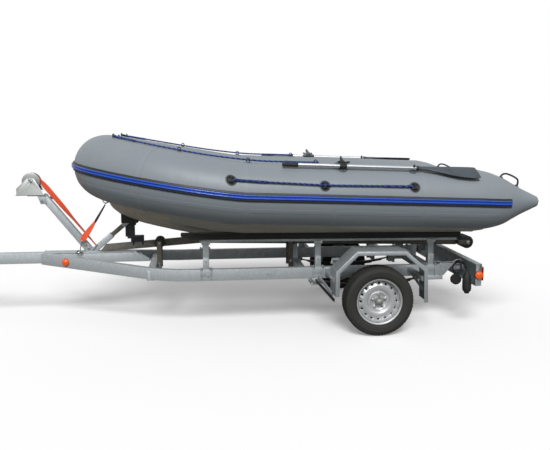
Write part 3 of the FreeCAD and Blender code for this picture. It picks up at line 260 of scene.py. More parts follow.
class TrailerSizes(bpy.types.PropertyGroup):
    """Sizes of the trailer's parts, in metres."""

    edge_radius: length("Tube edge radius", "Rounding of the frame's square tubes", 0.005)
    sheet_edge: length("Sheet edge radius", "Rounding of folded sheet", 0.0012)
    bolt_flats: length("Bolt size", "Across the flats of a frame bolt's head", 0.019)
    nut_flats: length("Small nut size", "Across the flats of a small nut", 0.013)
    tread_blocks: bpy.props.IntProperty(name="Tread blocks", description="Blocks round one tyre", default=64, min=8)
    rim_holes: bpy.props.IntProperty(name="Rim holes", description="Round holes in one rim", default=16, min=4)
    roller_grooves: bpy.props.IntProperty(name="Roller ribs", description="Ribs round one roller", default=24, min=6)


class Finishes(bpy.types.PropertyGroup):
    """Colours of the finishes."""

    tube_grey: colour("Tube grey", "Coated fabric of the tubes", "#8d959b")
    # lighter than the tubes' grey: painted bounce light on the underside
    hull_grey: colour("Hull grey", "Coated fabric of the bottom", "#bcb9ad")
    strake_blue: colour("Strake blue", "Rubbing strake", "#2456c2")
    rope_blue: colour("Rope blue", "Light strand of the grab lines", "#3a62ba")
    rope_navy: colour("Rope navy", "Dark strands of the grab lines", "#1a2857")
    galvanised: colour("Zinc grey", "Hot-dip galvanised steel", "#c6cccf")
    webbing: colour("Webbing orange", "Straps", "#ff5c30")
    lens: colour("Marker orange", "Side markers", "#f2540c")
    rubber: colour("Rubber black", "Moulded rubber", "#1d1d1e")
    tyre: colour("Tyre black", "Tyres", "#292928")


# ---- meshes


class Shape:
    """Collects the vertices, faces, UVs in metres and material numbers of one piece."""

    def __init__(self):
        self.points, self.faces, self.uvs, self.finish = [], [], [], []

    def face(self, corners, uv=None, finish=0):
        self.faces.append(list(corners))
        self.uvs.append(uv or [(0, 0)] * len(corners))
        self.finish.append(finish)

    def loft(self, rings, closed=True, caps=(True, True), finish=0):
        """A skin over rings with equal numbers of points; finish may be a function of the place in the ring."""
        base = len(self.points)
        count = len(rings[0])
        for ring in rings:
            self.points += [Vector(p) for p in ring]
        across = [0]
        middle = rings[len(rings) // 2]
        for i in range(count if closed else count - 1):
            across.append(across[-1] + (Vector(middle[(i + 1) % count]) - Vector(middle[i])).length)
        along = 0
        for r in range(len(rings) - 1):
            step = (Vector(rings[r + 1][0]) - Vector(rings[r][0])).length
            for i in range(count if closed else count - 1):
                j = (i + 1) % count
                corners = [base + r * count + i, base + r * count + j, base + (r + 1) * count + j,
                    base + (r + 1) * count + i]
                uv = [(across[i], along), (across[i + 1], along), (across[i + 1], along + step),
                    (across[i], along + step)]
                self.face(corners, uv, finish(i) if callable(finish) else finish)
            along += step
        for wanted, r in zip(caps, (0, len(rings) - 1)):
            if wanted and closed:
                corners = [base + r * count + i for i in range(count)]
                self.face(corners if r else corners[::-1], None, finish(0) if callable(finish) else finish)
        return self

    def lathe(self, profile, centre, axis, steps=48, finish=0):
        """Turns (along, radius) pairs round an axis; a string gives them in millimetres."""
        profile = mm(profile) if isinstance(profile, str) else profile
        axis = Vector(axis).normalized()
        side = axis.orthogonal().normalized() if abs(axis.z) > 0.9 else axis.cross(Z).normalized()
        up = side.cross(axis)
        rings = []
        for k in range(steps + 1):
            a = 2 * pi * (k % steps) / steps
            out = side * cos(a) + up * sin(a)
            rings.append([Vector(centre) + axis * h + out * max(r, 1e-5) for h, r in profile])
        return self.loft(rings, closed=False, caps=(False, False), finish=finish)

    def sweep(self, path, profile, up=None, finish=0, scale=None):
        """Pushes (side, up) pairs along a path; up is a fixed direction or carried along."""
        path = [Vector(p) for p in path]
        rings = []
        lift = None
        for i, at in enumerate(path):
            run = (path[min(i + 1, len(path) - 1)] - path[max(i - 1, 0)]).normalized()
            if up is not None:
                side = run.cross(Vector(up)).normalized()
            elif lift is None:
                side = run.orthogonal().normalized()
            else:
                side = run.cross(lift).normalized()
            lift = side.cross(run)
            size = scale(i / (len(path) - 1)) if scale else 1
            rings.append([at + side * a * size + lift * b * size for a, b in profile])
        return self.loft(rings, finish=finish)

    def slab(self, outline, push, finish=0):
        """A flat outline pushed along a vector."""
        push = Vector(push)
        return self.loft([[Vector(p) for p in outline], [Vector(p) + push for p in outline]], finish=finish)

    def block(self, low, high=None, finish=0):
        """A box between two corners, or from a row for each corner in millimetres."""
        (a, b, c), (d, e, f) = (low, high) if high else mm(low)
        return self.slab([(a, b, c), (d, b, c), (d, e, c), (a, e, c)], (0, 0, f - c), finish)

    def wrap(self, change):
        """Moves every point by a function."""
        self.points = [Vector(change(p)) for p in self.points]
        return self

    def add(self, part):
        """Joins another shape to this one."""
        offset = len(self.points)
        self.points += part.points
        self.faces += [[offset + v for v in face] for face in part.faces]
        self.uvs += part.uvs
        self.finish += part.finish
        return self

    def on(self, sign):
        """A copy on the starboard side (1) or the port side (-1)."""
        return Shape().add(self).wrap(as_is if sign > 0 else port_of)

    def both(self):
        """The shape with its twin to port."""
        return self.add(self.on(-1))


def round_points(radius, count=12):
    turns = [2 * pi * i / count for i in range(count)]
    return [(radius * cos(t), radius * sin(t)) for t in turns]


def oblong(width, height, radius):
    """(side, up) pairs of a rectangle with rounded corners."""
    points = []
    for cx, cy, turn in ((1, 1, 0), (-1, 1, 90), (-1, -1, 180), (1, -1, 270)):
        for k in range(4):
            a = radians(turn + 30 * k)
            points.append((cx * (width / 2 - radius) + radius * cos(a), cy * (height / 2 - radius) + radius * sin(a)))
    return points


def arc_points(centre, first, second, radius, start, end, steps=12):
    """Points on an arc in the plane of two directions; angles in degrees."""
    turns = [radians(start + (end - start) * k / steps) for k in range(steps + 1)]
    return [Vector(centre) + Vector(first) * radius * cos(t) + Vector(second) * radius * sin(t) for t in turns]


def smooth_line(points, steps=6):
    """A curve through the points."""
    points = [Vector(p) for p in points]
    line = []
    for i in range(len(points) - 1):
        a, b, c, d = points[max(i - 1, 0)], points[i], points[i + 1], points[min(i + 2, len(points) - 1)]
        for k in range(steps):
            t = k / steps
            line.append(0.5 * (2 * b + (c - a) * t + (2 * a - 5 * b + 4 * c - d) * t * t + (3 * b - a - 3 * c + d)
                * t ** 3))
    return line + [points[-1]]


def tidy_mesh(mesh, bevel, steps, angle, turn_out=False, triangulated=False):
    """Merges what touches, turns faces outward and rounds edges; triangulated meshes get their flat faces back."""
    bm = bmesh.new()
    bm.from_mesh(mesh)
    if triangulated:
        bmesh.ops.remove_doubles(bm, verts=bm.verts, dist=10 * WELD)
        bmesh.ops.dissolve_limit(bm, angle_limit=0.01, verts=bm.verts, edges=bm.edges)
    bmesh.ops.remove_doubles(bm, verts=bm.verts, dist=WELD)
    bmesh.ops.delete(bm, geom=[v for v in bm.verts if not v.link_faces], context="VERTS")
    if turn_out:
        bmesh.ops.recalc_face_normals(bm, faces=bm.faces)
    if bevel:
        sharp = [e for e in bm.edges if e.is_manifold and e.calc_face_angle(0) > radians(angle)]
        bmesh.ops.bevel(bm, geom=sharp, offset=bevel, segments=steps, profile=0.5, affect="EDGES", clamp_overlap=True)
    bm.to_mesh(mesh)
    bm.free()


def seat(obj, body, slot, replaced):
    """Hands a finished piece to the frame."""
    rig.ride(obj, body)
    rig.slot(obj, slot)
    if replaced:
        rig.replaces(obj, *([replaced] if isinstance(replaced, str) else replaced))
    return obj


def link(obj):
    bpy.context.scene.collection.objects.link(obj)
    return obj


def shade(mesh, angle=38):
    mesh.polygons.foreach_set("use_smooth", [True] * len(mesh.polygons))
    mesh.set_sharp_from_angle(angle=radians(angle))


def piece(name, shape, finishes, replaced=(), body=ROOT, slot=None, bevel=0, steps=2, angle=35, turn_out=True,
        smooth=38):
    """Makes a Shape into an object that rides on a body; its slot is its first finish's own if none is given."""
    finishes = [finishes] if isinstance(finishes, str) else finishes
    mesh = bpy.data.meshes.new(name)
    mesh.from_pydata(shape.points, [], shape.faces)
    for key in finishes:
        mesh.materials.append(M[key])
    mesh.polygons.foreach_set("material_index", shape.finish)
    layer = mesh.uv_layers.new(name="UVMap")
    layer.data.foreach_set("uv", [c for face in shape.uvs for pair in face for c in pair])
    tidy_mesh(mesh, bevel, steps, angle, turn_out)
    shade(mesh, smooth)
    return seat(link(bpy.data.objects.new(name, mesh)), body, slot or SLOTS[finishes[0]], replaced)


def softened(name, node, key, body=ROOT, bevel=0.003, steps=2):
    """A copy of a CAD node with its loose triangles merged and its edges rounded."""
    mesh = frame["nodes"][node].data.copy()
    mesh.name = name
    mesh.materials.clear()
    mesh.materials.append(M[key])
    mesh.polygons.foreach_set("material_index", [0] * len(mesh.polygons))
    tidy_mesh(mesh, bevel, steps, 30, triangulated=True)
    shade(mesh)
    return seat(link(bpy.data.objects.new(name, mesh)), body, SLOTS[key], (node,))


# ---- geometry node trees


def add_node(tree, kind, inputs=None, **settings):
    """Adds a node with its settings, its constants and its links; a node as a value means its first output."""
    node = tree.nodes.new(kind)
    for key, value in settings.items():
        setattr(node, key, value)
    for key, value in (inputs or {}).items():
        if isinstance(value, bpy.types.Node):
            value = value.outputs[0]
        if isinstance(value, bpy.types.NodeSocket):
            tree.links.new(value, node.inputs[key])
        else:
            node.inputs[key].default_value = value
    return node


def new_tree(name, inputs):
    """A modifier tree and its named inputs, each given as a name and its socket's type."""
    tree = bpy.data.node_groups.new(name, "GeometryNodeTree")
    tree.is_modifier = True
    tree.interface.new_socket("Geometry", in_out="OUTPUT", socket_type="NodeSocketGeometry")
    tree.interface.new_socket("Geometry", in_out="INPUT", socket_type="NodeSocketGeometry")
    for row in inputs.split(", "):
        label, kind = row.rsplit(" ", 1)
        tree.interface.new_socket(label, in_out="INPUT", socket_type="NodeSocket" + kind)
    return tree, tree.nodes.new("NodeGroupInput").outputs


def end_tree(tree, geometry, source):
    """Every tree ends in real geometry with its material set."""
    real = add_node(tree, "GeometryNodeRealizeInstances", {"Geometry": geometry})
    dressed = add_node(tree, "GeometryNodeSetMaterial", {"Geometry": real, "Material": source["Material"]})
    add_node(tree, "NodeGroupOutput", {0: dressed})
    return tree


def ring_of_copies():
    """Copies the piece round an axle, which lies across the trailer."""
    tree, source = new_tree("Ring of copies", "Count Int, Centre Vector, Material Material")
    spots = add_node(tree, "GeometryNodePoints", {"Count": source["Count"]})
    copies = add_node(tree, "GeometryNodeInstanceOnPoints", {"Points": spots, "Instance": source["Geometry"]})
    index = add_node(tree, "GeometryNodeInputIndex")
    share = add_node(tree, "ShaderNodeMath", {0: index, 1: source["Count"]}, operation="DIVIDE")
    angle = add_node(tree, "ShaderNodeMath", {0: share, 1: 2 * pi}, operation="MULTIPLY")
    turn = add_node(tree, "FunctionNodeAxisAngleToRotation", {"Axis": Y, "Angle": angle})
    turned = add_node(tree, "GeometryNodeRotateInstances", {
        "Instances": copies, "Rotation": turn, "Pivot Point": source["Centre"], "Local Space": False})
    return end_tree(tree, turned, source)


def row_of_copies():
    """Copies the piece along a straight step."""
    tree, source = new_tree("Row of copies", "Count Int, Step Vector, Material Material")
    index = add_node(tree, "GeometryNodeInputIndex")
    offset = add_node(tree, "ShaderNodeVectorMath", {0: source["Step"], "Scale": index}, operation="SCALE")
    spots = add_node(tree, "GeometryNodePoints", {"Count": source["Count"], "Position": offset})
    copies = add_node(tree, "GeometryNodeInstanceOnPoints", {"Points": spots, "Instance": source["Geometry"]})
    return end_tree(tree, copies, source)


def bolts_on_points():
    """A washer, a hexagon head and a domed thread end on every vertex, facing along its attribute."""
    tree, source = new_tree("Bolts on points", "Across Flats Float, Head Height Float, Material Material")
    flats, tall = source["Across Flats"], source["Head Height"]
    parts = []
    for sides, wide, high in ((24, 1, 0.2), (6, 0.577, 0.8), (14, 0.27, 1.3)):
        radius = add_node(tree, "ShaderNodeMath", {0: flats, 1: wide}, operation="MULTIPLY")
        depth = add_node(tree, "ShaderNodeMath", {0: tall, 1: high}, operation="MULTIPLY")
        lift = add_node(tree, "ShaderNodeMath", {0: depth, 1: 0.5}, operation="MULTIPLY")
        solid = add_node(tree, "GeometryNodeMeshCylinder", {"Vertices": sides, "Radius": radius, "Depth": depth})
        raised = add_node(tree, "ShaderNodeCombineXYZ", {"Z": lift})
        moved = add_node(tree, "GeometryNodeTransform", {"Geometry": solid, "Translation": raised})
        parts.append(moved.outputs[0])
    joined = tree.nodes.new("GeometryNodeJoinGeometry")
    for part in parts:
        tree.links.new(part, joined.inputs[0])
    facing = add_node(tree, "GeometryNodeInputNamedAttribute", {"Name": "facing"}, data_type="FLOAT_VECTOR")
    turn = add_node(tree, "FunctionNodeAlignRotationToVector", {"Vector": facing}, axis="Z")
    spots = add_node(tree, "GeometryNodeMeshToPoints", {"Mesh": source["Geometry"]})
    copies = add_node(tree, "GeometryNodeInstanceOnPoints", {
        "Points": spots, "Instance": joined, "Rotation": turn})
    return end_tree(tree, copies, source)


def rope_strands():
    """Three strands laid round the route's curve; attribute strand tells them apart."""
    tree, source = new_tree("Rope strands", "Rope Radius Float, Lay Float, Step Float, Material Material")
    route = add_node(tree, "GeometryNodeMeshToCurve", {"Mesh": source["Geometry"]})
    line = add_node(tree, "GeometryNodeResampleCurve", {"Curve": route, "Length": source["Step"]}, mode="LENGTH")
    where = tree.nodes.new("GeometryNodeSplineParameter")
    turns = add_node(tree, "ShaderNodeMath", {0: where.outputs["Length"], 1: source["Lay"]}, operation="DIVIDE")
    tangent = tree.nodes.new("GeometryNodeInputTangent")
    normal = tree.nodes.new("GeometryNodeInputNormal")
    side = add_node(tree, "ShaderNodeVectorMath", {0: tangent, 1: normal}, operation="CROSS_PRODUCT")
    reach = add_node(tree, "ShaderNodeMath", {0: source["Rope Radius"], 1: 0.5}, operation="MULTIPLY")
    thick = add_node(tree, "ShaderNodeMath", {0: source["Rope Radius"], 1: 0.55}, operation="MULTIPLY")
    ring = add_node(tree, "GeometryNodeCurvePrimitiveCircle", {"Resolution": 7, "Radius": thick})
    joined = tree.nodes.new("GeometryNodeJoinGeometry")
    for strand in range(3):
        shifted = add_node(tree, "ShaderNodeMath", {0: turns, 1: strand / 3}, operation="ADD")
        angle = add_node(tree, "ShaderNodeMath", {0: shifted, 1: 2 * pi}, operation="MULTIPLY")
        parts = []
        for direction, wave in ((normal, "COSINE"), (side, "SINE")):
            amount = add_node(tree, "ShaderNodeMath", {0: angle}, operation=wave)
            far = add_node(tree, "ShaderNodeMath", {0: amount, 1: reach}, operation="MULTIPLY")
            part = add_node(tree, "ShaderNodeVectorMath", {0: direction, "Scale": far}, operation="SCALE")
            parts.append(part.outputs[0])
        offset = add_node(tree, "ShaderNodeVectorMath", {0: parts[0], 1: parts[1]}, operation="ADD")
        laid = add_node(tree, "GeometryNodeSetPosition", {"Geometry": line, "Offset": offset})
        skin = add_node(tree, "GeometryNodeCurveToMesh", {"Curve": laid, "Profile Curve": ring, "Fill Caps": True})
        named = add_node(tree, "GeometryNodeStoreNamedAttribute", {
            "Geometry": skin, "Name": "strand", "Value": float(strand)}, data_type="FLOAT", domain="POINT")
        tree.links.new(named.outputs[0], joined.inputs[0])
    return end_tree(tree, joined, source)


TREES = {}


def grow(obj, make_tree, **values):
    """Runs a tree on an object and returns the result as a plain mesh."""
    if make_tree.__name__ not in TREES:
        TREES[make_tree.__name__] = make_tree()
    tree = TREES[make_tree.__name__]
    modifier = obj.modifiers.new(tree.name, "NODES")
    modifier.node_group = tree
    for item in tree.interface.items_tree:
        label = item.name.replace(" ", "_").lower()
        if item.item_type == "SOCKET" and item.in_out == "INPUT" and label in values:
            modifier[item.identifier] = values[label]
    made = obj.evaluated_get(bpy.context.evaluated_depsgraph_get())
    mesh = bpy.data.meshes.new_from_object(made)
    obj.modifiers.clear()
    return mesh


def repeated(name, shape, make_tree, key, body=ROOT, bevel=0, smooth=38, **values):
    """One item made by hand, copied by a tree into a finished piece."""
    obj = piece(name, shape, key, body=body, bevel=bevel)
    return regrown(obj, smooth, make_tree, material=M[key], **values)


def regrown(obj, smooth, make_tree, **values):
    """Gives an object the mesh that a tree makes of it."""
    obj.data = grow(obj, make_tree, **values)
    obj.data.name = obj.name
    shade(obj.data, smooth)
    return obj


def bolts(name, places, key, flats=0.019, head=0.011):
    """Bolt heads at (point, facing) pairs."""
    mesh = bpy.data.meshes.new(name)
    mesh.from_pydata([p for p, _ in places], [], [])
    facing = mesh.attributes.new("facing", "FLOAT_VECTOR", "POINT")
    facing.data.foreach_set("vector", [c for _, way in places for c in Vector(way).normalized()])
    obj = link(bpy.data.objects.new(name, mesh))
    regrown(obj, 38, bolts_on_points, across_flats=flats, head_height=head, material=M[key])
    return seat(obj, ROOT, "zinc_steel", ())


# ---- materials


M, SLOTS = {}, {}


def finish(key, slot, name, colour, rough, patterns, metallic=0, along=None, **constants):
    """A surface: its slot in the frame, its colour (a code or one of the finishes' properties) and its patterns.

    Each pattern says kind, size in mm, tint, strength, roughness change and height in mm. along names the piece's
    UV map where the pattern follows the surface; else the pattern sits in the object's space.
    """
    base = linear(colour) if colour[0] == "#" else tuple(getattr(bpy.context.scene.boat_finishes, colour))
    material = M[key] = bpy.data.materials.new(name)
    SLOTS[key] = slot
    material.use_nodes = True
    tree = material.node_tree
    tree.nodes.clear()
    where = tree.nodes.new("ShaderNodeTexCoord").outputs["UV" if along else "Object"]
    sockets = {"Base Color": (*base, 1), "Roughness": rough, "Metallic": metallic}
    sockets.update({label.replace("_", " ").title().replace("Ior", "IOR"): value for label, value in constants.items()})
    normal = {}
    for row in patterns.split(", "):
        kind, size, tint, strength, change, height = row.split()
        strength, change, height = float(strength), float(change), float(height)
        value = pattern_value(tree, where, kind, float(size))
        if strength:
            amount = add_node(tree, "ShaderNodeMath", {0: value, 1: strength}, operation="MULTIPLY")
            colours = {0: amount, 6: sockets["Base Color"], 7: (*linear(tint), 1)}
            sockets["Base Color"] = add_node(tree, "ShaderNodeMix", colours, data_type="RGBA").outputs[2]
        if change:
            terms = {0: value, 1: change, 2: sockets["Roughness"]}
            sockets["Roughness"] = add_node(tree, "ShaderNodeMath", terms, operation="MULTIPLY_ADD")
        if height:
            raised = {"Height": value, "Distance": height * MM, "Strength": 1, **normal}
            normal = {"Normal": add_node(tree, "ShaderNodeBump", raised)}
    shader = add_node(tree, "ShaderNodeBsdfPrincipled", {**sockets, **normal})
    shader.inputs["Roughness"].default_value = rough
    add_node(tree, "ShaderNodeOutputMaterial", {0: shader})
    return material


def pattern_value(tree, where, kind, size):
    """A pattern between 0 and 1 whose features are the given number of millimetres across."""
    scale = 1 / (size * MM)
    if kind.startswith("streaks"):
        squeeze = [1, 1, 1]
        squeeze["XYZ".index(kind[-1])] = 0.04
        where = add_node(tree, "ShaderNodeMapping", {"Vector": where, "Scale": squeeze}).outputs[0]
        kind = "cloud"
    if kind in ("cloud", "blotch", "grit"):
        detail, low, high = {"cloud": (3.0, 0.3, 0.7), "blotch": (4.0, 0.5, 0.72), "grit": (1, 0.35, 0.65)}[kind]
        made = add_node(tree, "ShaderNodeTexNoise", {"Vector": where, "Scale": scale, "Detail": detail})
        return add_node(tree, "ShaderNodeMapRange", {0: made, 1: low, 2: high}).outputs[0]
    if kind == "spangle":
        made = add_node(tree, "ShaderNodeTexVoronoi", {"Vector": where, "Scale": scale, "Randomness": 1})
        return add_node(tree, "ShaderNodeSeparateColor", {0: made.outputs["Color"]}).outputs[0]
    if kind == "cells":
        made = add_node(tree, "ShaderNodeTexVoronoi", {"Vector": where, "Scale": scale}, feature="DISTANCE_TO_EDGE")
        return add_node(tree, "ShaderNodeMapRange", {0: made, 1: 0, 2: 0.12}).outputs[0]
    if kind in ("weave", "ribsU", "ribsV"):
        waves = []
        for direction in ("X", "Y"):
            wave = add_node(tree, "ShaderNodeTexWave", {"Vector": where, "Scale": scale * pi / 10},
                bands_direction=direction)
            waves.append(wave.outputs["Fac"])
        if kind != "weave":
            return waves["UV".index(kind[-1])]
        return add_node(tree, "ShaderNodeMath", {0: waves[0], 1: waves[1]}, operation="MULTIPLY").outputs[0]
    raise ValueError("no pattern called " + kind)


def laid_rope_finish():
    """Three-strand polypropylene rope: two dark strands and a bright one, a soft sheen and fine filaments."""
    material = finish("rope", "rope", "polypropylene_rope_laid", "rope_blue", 0.6, "streaksX 1.2 #000000 0.25 0.1 0.4")
    f = bpy.context.scene.boat_finishes
    tree = material.node_tree
    which = add_node(tree, "ShaderNodeAttribute", attribute_name="strand")
    first = add_node(tree, "ShaderNodeMath", {0: which.outputs["Fac"], 1: 1.5}, operation="LESS_THAN")
    mix = add_node(tree, "ShaderNodeMix", {0: first, 6: (*f.rope_blue, 1), 7: (*f.rope_navy, 1)}, data_type="RGBA")
    tree.links.new(mix.outputs[2], tree.nodes["Principled BSDF"].inputs["Base Color"])


def make_finishes():
    """Every finish of the boat and its trailer, by the name of its real material and how it was made."""
    # PVC-coated polyester, calendered: satin, a faint cloth print (drawn at 3 mm so that it shows), slight dirt
    finish("tube_fabric", "tube_fabric", "PVC_coated_fabric_calendered", "tube_grey", 0.42,
        "cloud 420 #7a858d 0.28 0.05 0, blotch 60 #77808a 0.1 0.06 0, "
        "weave 3 #7d878d 0.1 0 0.05", along="UV", sheen_weight=0.05)
    # the same cloth on the bottom, with scuffs and dust streaks; its base colour is made lighter than the tubes' as
    # painted bounce light from the ground below
    finish("hull_fabric", "hull_fabric", "PVC_coated_fabric_scuffed", "hull_grey", 0.5,
        "cloud 300 #9e9b90 0.4 0.05 0, streaksX 12 #a09d90 0.15 0.1 0, "
        "weave 3 #a5a298 0.12 0 0.05", along="UV")
    # beige reinforcing cloth on the stem
    finish("stem_fabric", "hull_fabric", "PVC_coated_fabric_beige", "#cfc6b4", 0.5,
        "cloud 60 #948d7e 0.5 0.1 0, weave 3 #a8a08f 0.2 0 0.05")
    # drop-stitch floor: embossed non-slip dots
    finish("deck_fabric", "deck_fabric", "PVC_floor_embossed", "#6d767c", 0.55,
        "cloud 250 #5b6268 0.4 0.1 0, cells 9 #565d62 0.3 0.1 0.5")
    # extruded PVC rubbing strake: glossy blue and black
    finish("strake_blue", "strake_rubber", "PVC_extruded_blue", "strake_blue", 0.3,
        "streaksX 8 #173a8a 0.2 0.08 0, cloud 90 #2f5fbd 0.25 0.05 0", along="UV", coat_weight=0.15)
    finish("strake_black", "strake_rubber", "PVC_extruded_black", "#17181a", 0.4,
        "cloud 70 #2b2c2e 0.5 0.1 0, grit 1.5 - 0 0.05 0.06", along="UV")
    laid_rope_finish()
    # drawn and anodised aluminium tube: fine lengthwise brushing
    finish("oar_aluminium", "oar_aluminium", "aluminium_anodised", "#d3d6d8", 0.3,
        "streaksX 1.5 #aeb3b6 0.35 0.08 0.02, cloud 80 #bfc4c7 0.3 0.05 0", metallic=1)
    # injection-moulded nylon blade: fine spark-eroded grain, lighter scuffs
    finish("blade_plastic", "blade_plastic", "nylon_moulded_dark_grey", "#3c444b", 0.42,
        "cloud 60 #59636c 0.45 0.08 0, grit 1.2 - 0 0.05 0.08")
    finish("rubber", "fitting_rubber", "rubber_moulded", "rubber", 0.55,
        "cloud 30 #303031 0.5 0.12 0, grit 1.0 - 0 0.08 0.12")
    finish("roller_rubber", "roller_rubber", "rubber_moulded_scuffed", "#222322", 0.6,
        "cloud 20 #454643 0.5 0.15 0, grit 2.0 #383936 0.4 0.1 0.25")
    finish("patch_grey", "fitting_rubber", "PVC_moulded_grey", "#565d61", 0.45,
        "cloud 25 #565c60 0.5 0.1 0, weave 3 #626a6e 0.15 0 0.05")
    # hot-dip galvanised: spangle crystals 12 mm across, drawn coarser patches from the dip, dull grey bloom
    finish("galvanised", "galvanised_steel", "steel_hot_dip_galvanised", "galvanised", 0.42,
        "spangle 12 #a3abaf 0.5 0.16 0, cloud 160 #abb3b7 0.45 0.1 0, "
        "blotch 45 #d3d8d9 0.35 -0.08 0.05", metallic=0.5)
    finish("galvanised_sheet", "galvanised_steel", "steel_galvanised_sheet", "#b9bfc1", 0.36,
        "spangle 26 #929a9e 0.55 0.18 0, cloud 200 #a0a8ac 0.4 0.08 0", metallic=0.6)
    # the same zinc with painted shade: a darker base colour for the parts that lie in the boat's shadow, with spangle
    # and a pale oxide bloom
    finish("galvanised_dull", "galvanised_steel", "steel_galvanised_weathered", "#77746c", 0.6,
        "spangle 18 #5f5d57 0.4 0.1 0, blotch 60 #918f87 0.4 0.1 0.08", metallic=0.5)
    finish("zinc_plate", "zinc_steel", "steel_zinc_plated", "#c2c6c4", 0.28,
        "cloud 9 #9b9f9a 0.4 0.12 0", metallic=1)
    finish("black_steel", "black_steel", "steel_powder_coated_black", "#1d2024", 0.42,
        "cloud 50 #2c3036 0.5 0.1 0, grit 1.4 - 0 0.06 0.1")
    # needle-punched carpet glued to the boards: fibre tufts 4 mm
    finish("bunk_carpet", "bunk_carpet", "carpet_needle_punched", "#343734", 0.95,
        "grit 4 #3c3f3b 0.6 0 1.2, cloud 90 #33352f 0.5 0 0", sheen_weight=0.3)
    # woven polyester webbing, rib pitch 2.2 mm across the strap
    finish("webbing", "orange_webbing", "webbing_woven_orange", "webbing", 0.7,
        "ribsV 2.2 #b4371a 0.35 0 0.25, cloud 60 #c94a22 0.35 0 0", along="UV", sheen_weight=0.2)
    finish("webbing_black", "orange_webbing", "webbing_woven_black", "#26221f", 0.75,
        "ribsV 2.2 #463d36 0.4 0 0.25", along="UV", sheen_weight=0.2)
    finish("cast_iron", "cast_coupling", "iron_cast_zinc_plated", "#a9aca8", 0.45,
        "cloud 30 #83867f 0.5 0.15 0, grit 2.5 #8d918d 0.3 0.1 0.35", metallic=0.85)
    finish("tyre", "tyre_rubber", "tyre_rubber_moulded", "tyre", 0.72,
        "cloud 45 #383733 0.5 0.1 0, grit 2.0 #31302d 0.4 0.08 0.15")
    finish("rim_paint", "wheel_steel", "wheel_paint_silver", "#d2d4d5", 0.34,
        "grit 1.0 #b4b7b9 0.3 0.05 0, cloud 120 #bdc0c2 0.3 0.08 0", metallic=0.55, coat_weight=0.3)
    finish("ply_paint", "marine_plywood", "plywood_marine_painted", "#7c8385", 0.4,
        "streaksX 5 #6b7274 0.35 0.08 0.06, cloud 120 #878e90 0.3 0.05 0", coat_weight=0.3)
    finish("pad_plastic", "pad_plastic", "polyethylene_moulded_black", "#202224", 0.5,
        "cells 6 #2f3133 0.4 0.1 0.3, cloud 60 #2c2e30 0.4 0.1 0")
    # acrylic lenses: moulded prism rings under a gloss skin; the orange lens also carries a faint painted glow, though
    # its lamp is not lit
    finish("lens_orange", "lamp_lens", "acrylic_orange_moulded", "lens", 0.18,
        "cells 5 #ff8a3c 0.35 0 0.3", coat_weight=0.6, emission_color=(*linear("#f2540c"), 1), emission_strength=0.08)
    finish("lens_red", "lamp_lens", "acrylic_red_moulded", "#b51410", 0.18,
        "cells 6 #e23a22 0.35 0 0.3", coat_weight=0.6)
    finish("plate_white", "wheel_plastic", "aluminium_plate_painted_white", "#d9dad6", 0.35,
        "cloud 80 #c3c4bf 0.3 0.08 0", coat_weight=0.3)


# ---- the tube's geometry


def tube_height(x):
    """Height of the straight tube's centre at a station."""
    s = boat_sizes()
    return s.front_z + (s.taper_z - s.front_z) * (x - s.front_x) / (s.taper_x - s.front_x)


def bow_centre(angle):
    """The bow's centreline: 0 degrees at the starboard side tube, 90 at the stem, 180 to port."""
    s = boat_sizes()
    a = radians(angle)
    return vec(s.front_x - s.bow_reach * sin(a), s.tube_y * cos(a), s.front_z + s.bow_rise * max(sin(a), 0) ** 1.15)


def bow_heading(angle):
    return (bow_centre(angle + 0.5) - bow_centre(angle - 0.5)).normalized()


def tube_centre(x):
    """Centre of the starboard tube at a station, on the straight or round the bow."""
    s = boat_sizes()
    if x >= s.front_x:
        return vec(x, s.tube_y, tube_height(x))
    return bow_centre(degrees(asin(min(1, (s.front_x - x) / s.bow_reach))))


def bow_girth(angle):
    """Radius of the tube round the bow."""
    s = boat_sizes()
    return s.tube_radius + s.bow_swell * max(sin(radians(angle)), 0)


def tube_girth(x):
    """Radius of the tube at a station ahead of the stern's taper."""
    s = boat_sizes()
    return bow_girth(degrees(asin(min(1, max(0, (s.front_x - x) / s.bow_reach)))))


def on_tube(x, angle, lift_off):
    """A point on the starboard tube: station, degrees from the crest outboard, off the skin."""
    a = radians(angle)
    return tube_centre(x) + vec(0, sin(a), cos(a)) * (tube_girth(x) + lift_off)


def as_is(p):
    return p


def port_of(p):
    return vec(p[0], -p[1], p[2])


# stern cone: thousandths of its length and of the radius, and drop of its centre in mm
TAPER = mm("0 1000 0, 200 935 -8, 410 790 -16, 550 625 -17.8, 700 445 -19.6, 850 290 -21.1, 920 215 -22, 955 182 -22, "
    "975 150 -22, 988 110 -22, 994 60 -22")


def along_table(table, share, column):
    """A value read from a table of (share, ...) rows, eased through its first rows."""
    rows = smooth_line([(r[0], r[column], 0) for r in table], 8)
    for a, b in zip(rows, rows[1:]):
        if share <= b.x + 1e-9:
            t = (share - a.x) / max(b.x - a.x, 1e-9)
            return a.y + (b.y - a.y) * max(0, min(1, t))
    return rows[-1].y


def cone_station(share, sag=1):
    """Centre, heading and radius on the starboard stern cone; sag scales the drop of its centre."""
    s = boat_sizes()
    drop = sag * along_table(TAPER, share, 2)
    centre = vec(s.taper_x + share * (s.tip_x - s.taper_x), s.tube_y, s.taper_z + drop)
    return centre, -X, s.tube_radius * along_table(TAPER, share, 1)


def side_station(x):
    s = boat_sizes()
    return vec(x, s.tube_y, tube_height(x)), -X, s.tube_radius


def bow_station(angle):
    heading = bow_heading(angle) if 0 < angle < 180 else X if angle else -X
    return bow_centre(angle), heading, bow_girth(angle)


def tube_stations():
    """The stations from the starboard tip round the bow to the port tip."""
    s = boat_sizes()
    half = [cone_station(TAPER[-1][0] * k / 40) for k in range(40, 0, -1)]
    half += [side_station(s.front_x + (s.taper_x - s.front_x) * k / 18) for k in range(18, 0, -1)]
    bow = [bow_station(a) for a in range(0, 181, 3)]
    return half + bow + [(port_of(c), X, r) for c, _, r in reversed(half)]


